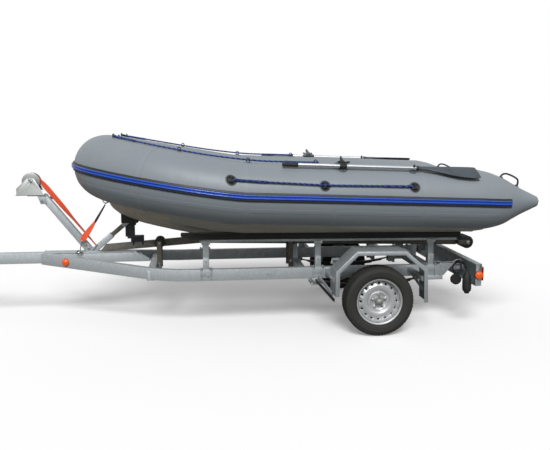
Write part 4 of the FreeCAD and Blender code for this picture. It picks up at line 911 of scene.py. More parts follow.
def ring_at(centre, heading, radius, count=96, start=0, end=360.0):
    """A ring across the tube from outboard (0 degrees) over the top (90); the last point is left off a full ring."""
    flat = vec(heading.x, heading.y, 0).normalized()
    out = vec(flat.y, -flat.x, 0)
    up = heading.cross(out)
    if up.z < 0:
        up = -up
    full = abs(end - start - 360) < 1e-6
    turns = [radians(start + (end - start) * k / (count if full else count - 1)) for k in range(count)]
    return [centre + out * radius * cos(t) + up * radius * sin(t) for t in turns]


def tube_band(shape, stations, start, end, lift):
    """A strip of cloth welded along the tube between two angles."""
    rings = []
    for centre, heading, radius in stations:
        outer = ring_at(centre, heading, radius + lift, 9, start, end)
        under = ring_at(centre, heading, radius - 0.002, 2, start - 0.3, end + 0.3)
        rings.append([under[0]] + outer + [under[1]])
    shape.loft(rings)


def tube_hoop(shape, centre, heading, radius, half, lift):
    """A strip of cloth welded round the tube."""
    edges = ((-half, -0.002), (-half + 0.0015, lift), (half - 0.0015, lift), (half, -0.002))
    shape.loft([ring_at(centre - heading * at, heading, radius + off) for at, off in edges], caps=(False, False))


def straight_run(first, last, step=0.08):
    count = max(2, int(abs(last - first) / step))
    return [first + (last - first) * k / count for k in range(count + 1)]


class BOAT_OT_tubes(bpy.types.Operator):
    """Inflated tubes, from one stern cone round the bow to the other, with their welded seams"""

    bl_idname = "boat.tubes"
    bl_label = "Tubes"

    def execute(self, context):
        s = boat_sizes()
        stations = tube_stations()
        skin = Shape().loft([ring_at(c, h, r) for c, h, r in stations])
        tubes = piece("buoyancy_tubes", skin, "tube_fabric", ("bow_tube", "starboard_tube", "port_tube"), smooth=60)
        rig.padded(tubes, fill=1)
        seams = Shape()
        half = s.seam_width / 2
        for angle in (0, 38, 66, 114, 142, 180):
            centre = (bow_centre(angle - 0.01) + bow_centre(angle + 0.01)) / 2
            tube_hoop(seams, centre, *bow_station(angle)[1:], half, s.seam_height)
        for x in (1.02, 1.72):
            for side in (1, -1):
                tube_hoop(seams, vec(x, s.tube_y * side, tube_height(x)), X, s.tube_radius, half, s.seam_height)
        run = [t for t in stations if t[2] > 0.9 * s.tube_radius]
        tube_band(seams, run, -30, -22.5, s.seam_height)
        piece("tube_seams", seams, "tube_fabric", smooth=50)
        caps = Shape()
        for side in (1, -1):
            tip = sorted(((c.x, c.z, r) for c, _, r in stations if c.x > s.tip_x - 0.016 and c.y * side > 0))
            profile = [(tip[0][0] - 0.001, tip[0][2] - 0.004)]
            profile += [(x, r + 0.0015) for x, _, r in tip]
            profile.append((tip[-1][0] + 0.0015, 0))
            caps.lathe([(x - s.tip_x, r) for x, r in profile], (s.tip_x, s.tube_y * side, tip[-1][1]), X, steps=48)
        piece("cone_caps", caps, "strake_black", smooth=60)
        return {"FINISHED"}


# strake section in mm: outboard of the skin and above its middle; the faces of BLUE are blue
STRAKE = mm("-6 -35, 4 -35, 7.8 -32, 8.8 -27, 7.8 -20.5, 10 -18.5, 14 -15, 18.8 -12, 20 -8.5, 18.8 -5, 13 -1.5, "
    "11 1.5, 13 4.5, 18.8 8, 20 11.5, 18.8 15, 14 18, 9.5 22.5, 7.8 27.5, 6.5 31, 4 33.5, -6 33.5")
BLUE = range(4, 16)


class BOAT_OT_strake(bpy.types.Operator):
    """Rubbing strake: black base with a blue double rib, from one stern round the bow to the other"""

    bl_idname = "boat.strake"
    bl_label = "Rubbing strake"

    def execute(self, context):
        s = boat_sizes()
        scale = s.strake_height / 0.068
        path = [cone_station(share, 0.8) for share in (0.44, 0.36, 0.28, 0.2, 0.12, 0.05)]
        path += [side_station(x) for x in straight_run(s.taper_x, s.front_x, 0.15)[:-1]]
        path += [(c, h, r + 0.0012) for c, h, r in map(bow_station, range(0, 91, 3))]
        path += [(port_of(c), vec(-h.x, h.y, 0), r) for c, h, r in reversed(path[:-1])]
        rings = []
        for centre, heading, radius in path:
            flat = vec(heading.x, heading.y, 0).normalized()
            out = vec(flat.y, -flat.x, 0)
            if out.dot(vec(centre.x - s.front_x, centre.y, 0)) < 0 and centre.x < s.front_x:
                out = -out
            if centre.x >= s.front_x:
                out = vec(0, copysign(1, centre.y), 0)
            # the band sits a little above the widest line at the stem
            raised = 0.016 * max(0, (s.front_x - centre.x) / s.bow_reach) ** 2
            rings.append([centre + out * (radius + a) + Z * (b * scale + raised) for a, b in STRAKE])
        strake = Shape().loft(rings, finish=lambda i: int(i in BLUE))
        piece("rubbing_strake_skin", strake, ["strake_black", "strake_blue"], "rubbing_strake", smooth=30)
        return {"FINISHED"}


# keel line: station and height; the fabric lies flat on the bunk boards aft of the bow
KEEL = mm("-782 1050, -774 1006, -747 958, -706 922, -660 889, -546 840, -494 825, -320 780, -80 727, 120 708, "
    "350 705, 900 702, 1600 698, 2254 695.5")


def keel_height(x):
    line = smooth_line([(a, b, 0) for a, b in KEEL], 10)
    for a, b in zip(line, line[1:]):
        if x <= b.x:
            return a.y + (b.y - a.y) * max(0, (x - a.x) / max(b.x - a.x, 1e-9))
    return KEEL[-1][1]


def hull_side(ring, share, lift):
    """A point on the starboard half of a hull ring, from keel to tube, pushed out of the cloth."""
    middle = len(ring) // 2
    at = share * 12
    k = min(int(at), 11)
    p = ring[middle + k].lerp(ring[middle + k + 1], at - k)
    out = (ring[middle + k + 1] - ring[middle + k]).cross(X).normalized()
    return p + (out if out.z < 0 else -out) * lift


class BOAT_OT_hull(bpy.types.Operator):
    """The fabric bottom, stretched over an inflated keel and welded to the tubes"""

    bl_idname = "boat.hull"
    bl_label = "Hull fabric"

    def execute(self, context):
        s = boat_sizes()
        bunk_low, bunk_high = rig.box("bunks")
        # degrees round the bow, 0 for the rings along the side
        places = [(a, *bow_station(a)) for a in (89.5, 87, 84, 80, 76, 72, 67, 62, 56, 50, 43, 36, 28, 20, 10)]
        places += [(0, *side_station(x)) for x in straight_run(s.front_x, 2.253, 0.16)]
        rings = []
        for angle, centre, heading, girth in places:
            edge = -76 - 18 * max(0, (angle - 50) / 40)
            lap = ring_at(centre, heading, girth + 0.0015, 5, edge, edge + 10)
            weld = lap[0]
            under = ring_at(centre, heading, girth - 0.003, 2, edge + 10, edge + 18)[0]
            x = max(weld.x + 0.004, KEEL[0][0] + 0.001 + 0.004 * (90 - angle)) if angle else weld.x
            keel = vec(x, 0, keel_height(x))
            flat = max(0, min(1, (x + 0.16) / 0.5))
            rest = bunk_high.z - (0.02 * (x - bunk_low.x) / (bunk_high.x - bunk_low.x))
            profile = []
            for k in range(13):
                t = k / 12
                p = keel.lerp(weld, t) - Z * sin(pi * t) * 0.012 * (1 - flat)
                y = abs(p.y)
                on_bunk = rest + (weld.z - rest) * max(0, y - 0.5) / max(abs(weld.y) - 0.5, 0.05)
                if y < 0.4:
                    on_bunk = keel.z + (rest - keel.z) * (y / 0.4) ** 0.9
                p.z += (on_bunk - p.z) * flat
                profile.append(p)
            half = profile + lap[1:] + [under]
            rings.append([port_of(p) for p in reversed(half[1:])] + half)
        # the stem is doubled with beige cloth
        shape = Shape().loft(rings[:12], closed=False, caps=(False, False), finish=1)
        shape.loft(rings[11:], closed=False, caps=(False, False))
        hull = piece("hull_fabric_skin", shape, ["hull_fabric", "stem_fabric"], "hull_bottom", turn_out=False,
            smooth=40)
        thicken = hull.modifiers.new("cloth", "SOLIDIFY")
        thicken.thickness = 0.0012
        thicken.offset = -1
        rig.padded(hull, fill=1)
        # doubling patches over the forefoot, one to each side
        widths = [(t, 0.0022 if 0.1 < t < 0.9 else -0.001) for t in (0.1, 0.14, 0.3, 0.5, 0.7, 0.86, 0.9)]
        patches = Shape().loft([[hull_side(ring, *at) for at in widths] for ring in rings[10:13]])
        piece("stem_patches", patches.both(), "stem_fabric", smooth=50)
        return {"FINISHED"}


# the rowlock: station, and degrees from the crest outboard; the clip: distance aft of it
LOCK_X, OAR_ANGLE, CLIP_AT = 1.088, 28.0, 0.555


def oar_point(along, lift, side=0):
    """A point in the starboard oar's own frame: along the shaft from the rowlock, off the tube's skin, and outboard."""
    s = boat_sizes()
    slope = atan2(s.taper_z - s.front_z, s.taper_x - s.front_x)
    run = vec(cos(slope), 0, sin(slope))
    lean = vec(0, sin(radians(OAR_ANGLE)), cos(radians(OAR_ANGLE)))
    normal = (lean - run * lean.dot(run)).normalized()
    skin = vec(LOCK_X, s.tube_y, tube_height(LOCK_X)) + normal * s.tube_radius
    return skin + run * along + normal * lift + normal.cross(run) * side


OAR_LIFT = 0.032
# blade: station from the rowlock, inboard and outboard edge, thickness
BLADE = mm("588 -17.5 17.5 35, 630 -18.5 20 30, 675 -22 28 21, 725 -27 41 14, 775 -34 58 10, 825 -39 75 8, "
    "880 -43 89 6.5, 940 -46 98 5.5, 990 -47 102 5, 1030 -47 103 4.5, 1062 -45 101.5 4, 1072 -40 97 3")


class BOAT_OT_oars(bpy.types.Operator):
    """Both oars: ribbed grip, anodised shaft, rowlock collar and spooned blade"""

    bl_idname = "boat.oars"
    bl_label = "Oars"

    def execute(self, context):
        lock = oar_point(0, OAR_LIFT)
        run = (oar_point(1, OAR_LIFT) - lock).normalized()
        tube = Shape().lathe("-352 0, -352 15, 600 15, 600 0", lock, run, 40)
        ribs = mm("-470 0, -470 10, -468 14.5, -464 16.2")
        for k in range(11):
            at = -0.46 + 0.0095 * k
            ribs += [(at, 0.0172), (at + 0.0055, 0.0172), (at + 0.0065, 0.0158), (at + 0.0085, 0.0158)]
        ribs += mm("-354 18, -350 18, -349 15.2, -349 0")
        grip = Shape().lathe(ribs, lock, run, 32)
        collar = mm("-27 0, -27 17.5, -25 19.2, -20 19.2, -18 17.5, 18 17.5, 20 19.2, 25 19.2, 27 17.5, 27 0")
        grip.lathe(collar, lock, run, 32)
        grip.lathe("574 0, 574 17.2, 577 18.6, 592 18.6, 598 17.8, 600 0", lock, run, 32)
        rings = []
        for at, inner, outer, thick in BLADE:
            upper, lower = [], []
            for k in range(17):
                t = k / 16
                across = inner + (outer - inner) * t
                width = outer - inner
                spread = min(1, max(0, (width - 0.042) / 0.09))
                from_edge = min(t, 1 - t) * width
                edge = min(1, from_edge / 0.006)
                droop = -0.01 * spread * max(0, (across - 0.02) / 0.083) ** 2 - 0.004 * spread * max(0,
                    (-across) / 0.047) ** 2
                rib = 0.0065 * exp(-((across - 0.004) / 0.009) ** 2) * max(0, 1 - (at - 0.62) / 0.42) * spread
                flute = 0.0012 * cos(across / 0.03 * 2 * pi) * spread * edge
                slant = 0.01 * (t - 1) * max(0, (at - 0.93) / 0.142) ** 1.5
                body_half = thick / 2 * (1 if spread else sqrt(max(0, 1 - (2 * t - 1) ** 2)))
                body_half *= 0.35 + 0.65 * sqrt(edge) if spread else 1
                upper.append(oar_point(at + slant, OAR_LIFT + droop + body_half + rib + flute, across))
                lower.append(oar_point(at + slant, OAR_LIFT + droop - body_half + flute, across))
            rings.append(upper + lower[::-1])
        blade = Shape().loft(rings)
        for side, sign in SIDES:
            body = side + "_oar"
            piece(body + "_tube", tube.on(sign), "oar_aluminium", body + "_shaft", body)
            piece(body + "_mouldings", grip.on(sign), "rubber", body=body, smooth=30)
            piece(body + "_spoon", blade.on(sign), "blade_plastic", body + "_blade", body, smooth=35)
        return {"FINISHED"}


class BOAT_OT_oar_fittings(bpy.types.Operator):
    """Rowlocks with their wing nuts, and the open clips that hold the shafts"""

    bl_idname = "boat.oar_fittings"
    bl_label = "Rowlocks and clips"

    def execute(self, context):
        s = boat_sizes()
        lock = oar_point(0, 0)
        normal = (oar_point(0, 1) - lock).normalized()
        out = (oar_point(0, 0, 1) - lock).normalized()
        moulded, pins, feet, yoke, fin = (Shape() for _ in range(5))

        def plates(shape, outline, side, push):
            shape.slab([oar_point(a, b, side) for a, b in mm(outline)], out * push)

        for at, wide in ((0, 0.036), (CLIP_AT, 0.03)):
            foot = Shape().lathe([(-0.003, wide), (0.0018, wide), (0.0032, wide - 0.004), (0.0035, wide * 0.62),
                (0.009, wide * 0.52),
                (0.0105, wide * 0.3), (0.0105, 0)], (0, 0, 0), Z, 40)
            feet.add(foot.wrap(lambda p: on_tube(oar_point(at, 0).x + p.x, OAR_ANGLE + degrees(p.y / s.tube_radius),
                p.z)))
        # yoke round the collar
        yoke.sweep(arc_points(oar_point(0, OAR_LIFT), -out, -normal, 0.022, -20, 200, 18), oblong(0.026, 0.004, 0.0015))
        pins.lathe("0 0, 0 6, 66 6, 68 4.5, 68 0", lock, normal, 20)
        pins.lathe("57.5 0, 57.5 13, 59.3 13, 59.3 0", lock, normal, 24)
        # wing nut
        yoke.lathe("59.3 0, 59.3 11.5, 66 9.5, 71.5 8.5, 73 6, 73 0", lock, normal, 20)
        wing = "6 61, 20 60.5, 36 61.5, 47 65, 50 70, 46 74.5, 36 75, 22 72, 6 70"
        for way in (1, -1):
            yoke.slab([oar_point(way * a, b, -0.0028) for a, b in mm(wing)], out * 0.0056)
        # moulded body with its fin on the inboard side
        plates(fin, "-58 10, 60 10, 56 26, 26 40, 4 60, -12 86, -24 89, -26 74, -18 52, -36 34, -56 24", -0.06, 0.026)
        plates(fin, "-24 20, 24 20, 20 40, -20 40", -0.036, 0.016)
        plates(yoke, "-30 14, 30 14, 20 30, -12 34", -0.0615, 0.003)
        # open clip, its mouth outboard
        mouth = arc_points(oar_point(CLIP_AT, OAR_LIFT), out, normal, 0.0195, 52, 308, 26)
        moulded.sweep(mouth, oblong(0.026, 0.004, 0.0015))
        moulded.slab([oar_point(CLIP_AT + a, 0.006, b) for a, b in mm("-13 -13, 13 -13, 13 13, -13 13")],
            normal * -0.004)
        for side, sign in SIDES:
            piece(side + "_rowlock_yoke", yoke.on(sign), "rubber", body=side + "_oar", bevel=0.0008, angle=50)
            piece(side + "_rowlock_body", fin.on(sign), "patch_grey", body=side + "_oar", bevel=0.004, steps=3,
                angle=25)
        piece("rowlock_mouldings", moulded.both(), "rubber", "oar_fittings", bevel=0.0008, angle=50)
        piece("rowlock_pins", pins.both(), "zinc_plate")
        piece("rowlock_feet", feet.both(), "patch_grey", smooth=50)
        return {"FINISHED"}


# the side line's route: station and degrees from the crest, 16 mm off the skin
SIDE_ROUTE = [(0.258, 63.2), (0.5, 64.2), (0.72, 65.2), (0.915, 66.5), (0.965, 66.6), (1.2, 65.9), (1.42, 65.3),
    (1.612, 64.9)]
# crest line: angles round the bow, then stations on the straight tube, 14 mm off the skin
CREST_ANGLES = [114, 123, 132, 142, 153, 166]
CREST_STATIONS = [0.43, 0.66, 0.928]
SIDE_PATCHES = [(0.235, 63.0), (0.94, 66.7), (1.637, 64.8)]
CREST_PATCHES = [(-0.15, 0), (0.377, 0), (0.905, 0)]


def spline_points(name, route):
    """The points along a smooth spline whose control points are the route's points."""
    data = bpy.data.curves.new(name, "CURVE")
    data.dimensions = "3D"
    spline = data.splines.new("NURBS")
    spline.points.add(len(route) - 1)
    for point, at in zip(spline.points, route):
        point.co = (*at, 1)
    spline.order_u = 3
    spline.use_endpoint_u = True
    spline.resolution_u = 16
    obj = link(bpy.data.objects.new(name, data))
    mesh = bpy.data.meshes.new_from_object(obj.evaluated_get(bpy.context.evaluated_depsgraph_get()))
    line = [v.co.copy() for v in mesh.vertices]
    bpy.data.objects.remove(obj)
    bpy.data.meshes.remove(mesh)
    return line


def length_of(line):
    return sum((b - a).length for a, b in zip(line, line[1:]))


def make_rope(name, route, replaced):
    s = boat_sizes()
    line = spline_points(name + "_route", route)
    mesh = bpy.data.meshes.new(name)
    mesh.from_pydata(line, [(i, i + 1) for i in range(len(line) - 1)], [])
    rope = link(bpy.data.objects.new(name, mesh))
    regrown(rope, 80, rope_strands, rope_radius=1.15 * s.rope_radius, lay=s.rope_lay, step=0.0045, material=M["rope"])
    seat(rope, ROOT, "rope", replaced)
    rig.cord(rope, exit=line[0], length=round(length_of(line), 3), diameter=2 * s.rope_radius, far_end="object",
        stiffness="limp", lay="taut", path=line)
    return rope


def torus(shape, centre, axis, major, minor, steps=28, count=10):
    ring = [(minor * sin(2 * pi * k / count), major + minor * cos(2 * pi * k / count)) for k in range(count + 1)]
    return shape.lathe(ring, centre, axis, steps)


def knot(shape, base, run, across, up, size):
    """A tied lump of rope: one turn of a closed trefoil."""
    loop = []
    for i in range(49):
        t = 2 * pi * i / 48
        a, b, c = sin(t) + 2 * sin(2 * t), cos(t) - 2 * cos(2 * t), -sin(3 * t)
        loop.append(base + run * a * size * 0.8 + across * b * size * 0.7 + up * (c * size * 0.9 + 0.002))
    shape.sweep(loop, round_points(0.0052, 8), up=up)


def splice(route, reach):
    """The spliced tail laid over a line's first stretch, three strands of it."""
    line = spline_points("splice", route)
    kept, gone = [line[0]], 0
    for a, b in zip(line, line[1:]):
        gone += (b - a).length
        if gone > reach:
            break
        kept.append(b)
    fine = smooth_line(kept, 8)
    twist = Shape()
    for phase in range(3):
        strand, run = [], 0
        for i, at in enumerate(fine):
            run += (at - fine[i - 1]).length if i else 0
            ahead = (fine[min(i + 1, len(fine) - 1)] - fine[max(i - 1, 0)]).normalized()
            out = ahead.cross(Z).normalized()
            turn = 2 * pi * (run / 0.03 + phase / 3)
            strand.append(at + (out * cos(turn) + out.cross(ahead) * sin(turn)) * 0.0052)
        twist.sweep(strand, round_points(0.0042, 6))
    return twist


class BOAT_OT_lines(bpy.types.Operator):
    """Grab lines, the patches and rings that hold them, and their knots"""

    bl_idname = "boat.lines"
    bl_label = "Grab lines"

    def execute(self, context):
        s = boat_sizes()
        side_route = [on_tube(x, a, 0.016) for x, a in SIDE_ROUTE]
        crest_route = [port_of(bow_centre(a)) + Z * (bow_girth(a) + 0.014) for a in CREST_ANGLES]
        crest_route += [on_tube(x, 0, 0.014) for x in CREST_STATIONS]
        # eye patch: cloth disc, moulded boss, two cheeks and the bar over the rope
        eye = Shape().lathe("-2 44, 1.6 44, 2.6 42, 2.8 33", (0, 0, 0), Z, 48)
        eye.lathe("0 36.5, 6.5 35.5, 8.5 33, 7.5 28, 4.5 25, 4.5 0", (0, 0, 0), Z, 48, finish=1)
        for way in (1, -1):
            cheek = [(x, way * y, z) for x, y, z in mm("-17 19 2, -13 17 17, 0 16 22.5, 13 17 17, 17 19 2")]
            eye.sweep(cheek, round_points(0.0042, 8), finish=1)
        eye.sweep(mm("0 -21 23.5, 0 0 26.2, 0 21 23.5"), round_points(0.0052, 10), finish=1)
        button = Shape().lathe("-2 31, 1.5 31, 2.6 29, 3 16, 7 13, 8 0", (0, 0, 0), Z, 36)
        patches, rings, knots = Shape(), Shape(), Shape()
        for side, sign in SIDES:
            change = as_is if sign > 0 else port_of
            side_line, crest_line = [change(p) for p in side_route], [change(p) for p in crest_route]
            make_rope(side + "_side_line", side_line, side + "_grab_line")
            make_rope(side + "_crest_line", crest_line, ())
            for part, places in ((eye, SIDE_PATCHES), (button, CREST_PATCHES)):
                for x, angle in places:
                    bent = part.on(1).wrap(lambda p: on_tube(x + p.x, angle + degrees(p.y / s.tube_radius), p.z))
                    patches.add(bent.on(sign))
            for x, _ in CREST_PATCHES:
                torus(rings, change(on_tube(x, 0, 0.0195)), (0.55, 0.83, 0), 0.0155, 0.0036)
            at = change(port_of(bow_centre(CREST_ANGLES[0]))) + Z * (bow_girth(97) + 0.013)
            torus(rings, at, (0.9, 0.3 * sign, 0), 0.0165, 0.0038)
            torus(rings, at + vec(0.045, 0.02 * sign, -0.003), (0.9, 0.3 * sign, 0), 0.0125, 0.0034)
            # a big and a small lump at each end, and one lump where the side line is hitched
            tails = [side_line, side_line[::-1], crest_line[::-1], crest_line]
            for end, ahead, inset in [(tail[0], tail[1], 0.012)
                    for tail in tails] + [(side_line[3], side_line[4], 0.025)]:
                run = (ahead - end).normalized()
                across = run.cross(Z).normalized()
                for size, shift in ((0.0052, 0), (0.004, 0.016)):
                    if inset == 0.012 or not shift:
                        knot(knots, end + run * (inset + shift), run, across, across.cross(run), size)
            for tail, reach in zip(tails, (0.25, 0.22, 0.28, 0.42)):
                knots.add(splice(tail[:3], reach))
        piece("line_patch_mouldings", patches, ["patch_grey", "rubber"], "line_patches", smooth=40)
        piece("line_rings", rings, "rubber")
        tied = piece("line_knots", knots, "rope", smooth=70)
        strand = tied.data.attributes.new("strand", "FLOAT", "POINT")
        strand.data.foreach_set("value", [float((i // 24) % 3) for i in range(len(tied.data.vertices))])
        return {"FINISHED"}


class BOAT_OT_handles(bpy.types.Operator):
    """Lifting handles on the stern cones and the towing ring under the bow"""

    bl_idname = "boat.handles"
    bl_label = "Handles and towing ring"

    def execute(self, context):
        s = boat_sizes()
        grips = Shape()
        for sign in (1, -1):
            start = vec(s.taper_x + 0.232, s.tube_y * sign, s.taper_z + 0.1755)
            end = vec(s.taper_x + 0.366, s.tube_y * sign, s.taper_z + 0.1045)
            middle = (start + end) / 2 + vec(0.018, 0, 0.052)
            path = [start + Vector(p) for p in mm("-6 0 -12, 6 0 18, 38 0 30")] + [middle]
            path = smooth_line(path + [end + Vector(p) for p in mm("4 0 58, 12 0 26, 0 0 -12")], 6)
            grips.sweep(path, round_points(0.0072, 12), scale=lambda t: 1 + 0.25 * abs(2 * t - 1) ** 4)
            for foot, drop in ((start, 0.34), (end, 0.5)):
                lean = vec(drop, 0, 1).normalized()
                grips.lathe("-12 24, -1 24, 3 21, 6 14, 11 11, 11 0", foot - lean * 0.002, lean, 24)
        piece("stern_grips", grips, "rubber", "stern_handles", smooth=50)
        stem_x = s.front_x - s.bow_reach
        stem_z = s.front_z + s.bow_rise - s.tube_radius - s.bow_swell
        ring = torus(Shape(), (stem_x - 0.02, 0, stem_z - 0.03), Y, 0.026, 0.004, 40, 12)
        ring.sweep(arc_points((stem_x - 0.02, 0, stem_z - 0.003), Y, -Z, 0.01, -15, 195, 14), round_points(0.0035, 8))
        piece("bow_ring_steel", ring, "zinc_plate", "bow_tow_ring")
        pad = Shape().lathe("-4 50, 2 50, 4 46, 4.5 0", (0, 0, 0), -Z, 40)
        pad.wrap(lambda p: vec(stem_x - 0.018 + p.x, p.y,
            stem_z + 0.001 + (p.x - 0.018) ** 2 / (2 * s.tube_radius) + p.z))
        piece("bow_ring_pad", pad, "patch_grey", smooth=50)
        return {"FINISHED"}


class BOAT_OT_cockpit(bpy.types.Operator):
    """Air deck, transom, motor pads and seats"""

    bl_idname = "boat.cockpit"
    bl_label = "Deck, transom and seats"

    def execute(self, context):
        softened("air_deck", "floor_deck", "deck_fabric", bevel=0.008, steps=3)
        softened("transom_board", "transom", "ply_paint", bevel=0.006, steps=3)
        softened("motor_pad_plates", "motor_pads", "pad_plastic", bevel=0.003)
        softened("seat_boards", "seats", "ply_paint", bevel=0.006, steps=3)
        return {"FINISHED"}


# ---- trailer


def middle_of(node):
    low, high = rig.box(node)
    return (low + high) / 2


def straight_bar(shape, start, end, wide, thick, across=Y):
    """A bar between two points, its width along a direction."""
    return shape.sweep([start, end], oblong(thick, wide, 0.0015), up=across)


def round_bar(shape, path, radius, count=10):
    return shape.sweep(path, round_points(radius, count))


def ribbon(shape, rows, thick=0.0022, finish=0):
    """Webbing through (point, width, turn) rows; a turn of 0 degrees lies across the boat."""
    rings = []
    for (a, wide, turn), (b, next_wide, next_turn) in zip(rows, rows[1:]):
        a, b = Vector(a), Vector(b)
        run = (b - a).normalized()
        other = run.cross(Y).normalized()
        for k in range(9):
            angle = radians(turn + (next_turn - turn) * k / 8)
            side = (Y * cos(angle) + other * sin(angle)) * (wide + (next_wide - wide) * k / 8) / 2
            face = run.cross(side).normalized() * thick / 2
            at = a.lerp(b, k / 8)
            rings.append([at - side - face, at + side - face, at + side + face, at - side + face])
    return shape.loft(rings, finish=finish)


def facing_out(places, *signs):
    """Bolts facing outboard at places on the starboard side, and at their twins to port unless signs say which."""
    return [((x, sign * y, z), (0, sign, 0)) for sign in signs or (1, -1) for x, y, z in places]


# stations of the posts under the bunks
BUNK_POSTS = (0.045, 0.975, 1.945)


def bunk_under(x):
    """Height of a bunk board's underside at a station."""
    low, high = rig.box("bunks")
    return high.z - 0.05 - 0.02 * (x - low.x) / (high.x - low.x)


class BOAT_OT_frame(bpy.types.Operator):
    """Drawbar, side rails, cross members and keel beam, with their welds and bolts"""

    bl_idname = "boat.frame"
    bl_label = "Trailer frame"

    def execute(self, context):
        t = trailer_sizes()
        for name, node in (("drawbar_tube", "drawbar"), ("starboard_rail_tube", "starboard_side_rail"),
                ("port_rail_tube", "port_side_rail"), ("cross_member_tubes", "cross_members")):
            softened(name, node, "galvanised", bevel=t.edge_radius, steps=3)
        # the keel beam takes the zinc with painted shade
        softened("keel_beam_tube", "keel_beam", "galvanised_dull", bevel=t.edge_radius, steps=3)
        beads = Shape()
        for x in (-0.436, -0.376, 0.82, 0.88, 1.92, 1.98):
            for y in (-0.434, 0.434):
                beads.lathe("-5 0, -3 4, 3 4, 5 0", (x, y, 0.408), Z, 8)
        repeated("member_welds", beads, row_of_copies, "galvanised", smooth=80, count=13, step=(0, 0, 0.0055))
        seams = Shape()
        for y in (-0.041, 0.041):
            seams.lathe("-6 0, -3 4.5, 3 4.5, 6 0", (-1.335, y, 0.574), X, 8)
        repeated("arm_welds", seams, row_of_copies, "galvanised", smooth=80, count=110, step=(0.007, 0, 0))
        spots = []
        for sign in (1, -1):
            spots += [((x, sign * y, z), (-0.36, sign, 0)) for x, y, z in mm("-1020 174 517, -700 297 490")]
            spots += facing_out(mm("60 486 445, 560 486 452, 1300 486 446"), sign)
        bolts("frame_bolts", spots, "galvanised", t.bolt_flats)
        return {"FINISHED"}


class BOAT_OT_rollers(bpy.types.Operator):
    """Keel rollers and the tail roller on their spindles, with ribbed rubber, and their brackets"""

    bl_idname = "boat.rollers"
    bl_label = "Rollers"

    def execute(self, context):
        t = trailer_sizes()
        wheel = mm("0 10, 0 40, 3 44, 11 44, 15 40.5, 30 40.5, 34 44, 42 44, 45 40, 45 10")
        for name, body in (("front_keel_rollers", "front_rollers"), ("middle_keel_rollers", "middle_rollers")):
            centre = middle_of(name)
            rubber, ribs = Shape(), Shape()
            for y in (0.031, -0.076):
                rubber.lathe(wheel, centre + Y * y, Y, 48)
                ribs.block(centre + vec(-0.0015, y + 0.014, 0.04), centre + vec(0.0015, y + 0.031, 0.0435))
            piece(name + "_rubber", rubber, "roller_rubber", name, body)
            repeated(name + "_ribs", ribs, ring_of_copies, "roller_rubber", body, count=t.roller_grooves, centre=centre)
            pin = Shape().lathe("-90 0, -90 9, 90 9, 90 0", centre, Y, 20)
            piece(name + "_spindle", pin, "zinc_plate", body=body, bevel=0.001)
        centre = middle_of("tail_roller")
        half = []
        for k in range(5):
            at = 0.002 + 0.0145 * k
            half += [(at, 0.056), (at + 0.0015, 0.058), (at + 0.0115, 0.058), (at + 0.013, 0.056)]
        half += mm("75 52, 75 10")
        tail = Shape().lathe([(-a, b) for a, b in reversed(half)] + half, centre, Y, 64)
        piece("tail_roller_rubber", tail, "roller_rubber", "tail_roller", "tail_roller_body")
        bar = Shape().sweep([centre - Y * 0.094, centre + Y * 0.094], oblong(0.028, 0.028, 0.003), up=Z)
        piece("tail_roller_axle", bar, "zinc_plate", body="tail_roller_body", bevel=0.0015)
        # the roller brackets take the zinc with painted shade
        softened("roller_bracket_plates", "roller_brackets", "galvanised_dull", bevel=t.sheet_edge)
        spots = facing_out(mm("-358 87 470, -358 87 445, 800 87 475"))
        bolts("bracket_bolts", spots, "zinc_plate", t.nut_flats, 0.008)
        return {"FINISHED"}


class BOAT_OT_bunks(bpy.types.Operator):
    """Carpeted bunk boards on their telescopic posts, clamped to the rails with U-bolts"""

    bl_idname = "boat.bunks"
    bl_label = "Bunks"

    def execute(self, context):
        t = trailer_sizes()
        softened("bunk_carpets", "bunks", "bunk_carpet", bevel=0.007, steps=3)
        softened("bunk_posts", "bunk_supports", "galvanised", steps=3)
        clamps, spots = Shape(), []
        for x in BUNK_POSTS:
            top = bunk_under(x)
            # T plate under the board, with its two ears
            clamps.block((x - 0.052, 0.436, top - 0.014), (x + 0.052, 0.486, top - 0.009))
            clamps.block((x - 0.036, 0.481, top - 0.04), (x + 0.036, 0.486, top - 0.009))
            # sleeve, foot plate and clamp on the rail
            clamps.sweep([(x, 0.46, 0.498), (x, 0.46, 0.588)], oblong(0.06, 0.05, 0.004), up=X)
            clamps.block((x - 0.052, 0.43, 0.4935), (x + 0.052, 0.49, 0.4995))
            clamps.block((x - 0.05, 0.4855, 0.44), (x + 0.05, 0.4895, 0.4995))
            for shift in (-0.04, 0.04):
                round_bar(clamps, [(x + shift, 0.4945, 0.402), (x + shift, 0.4945, 0.512)], 0.0045)
        piece("bunk_clamps", clamps.both(), "galvanised", bevel=t.sheet_edge)
        for sign in (1, -1):
            for x in BUNK_POSTS:
                ear = bunk_under(x) - 0.025
                spots += [((x + d, sign * 0.4945, 0.5), Z) for d in (-0.04, 0.04)]
                spots += facing_out([(x, 0.4855, 0.56), (x + 0.022, 0.486, ear), (x - 0.022, 0.486, ear)], sign)
        bolts("bunk_nuts", spots, "zinc_plate", t.nut_flats, 0.008)
        return {"FINISHED"}


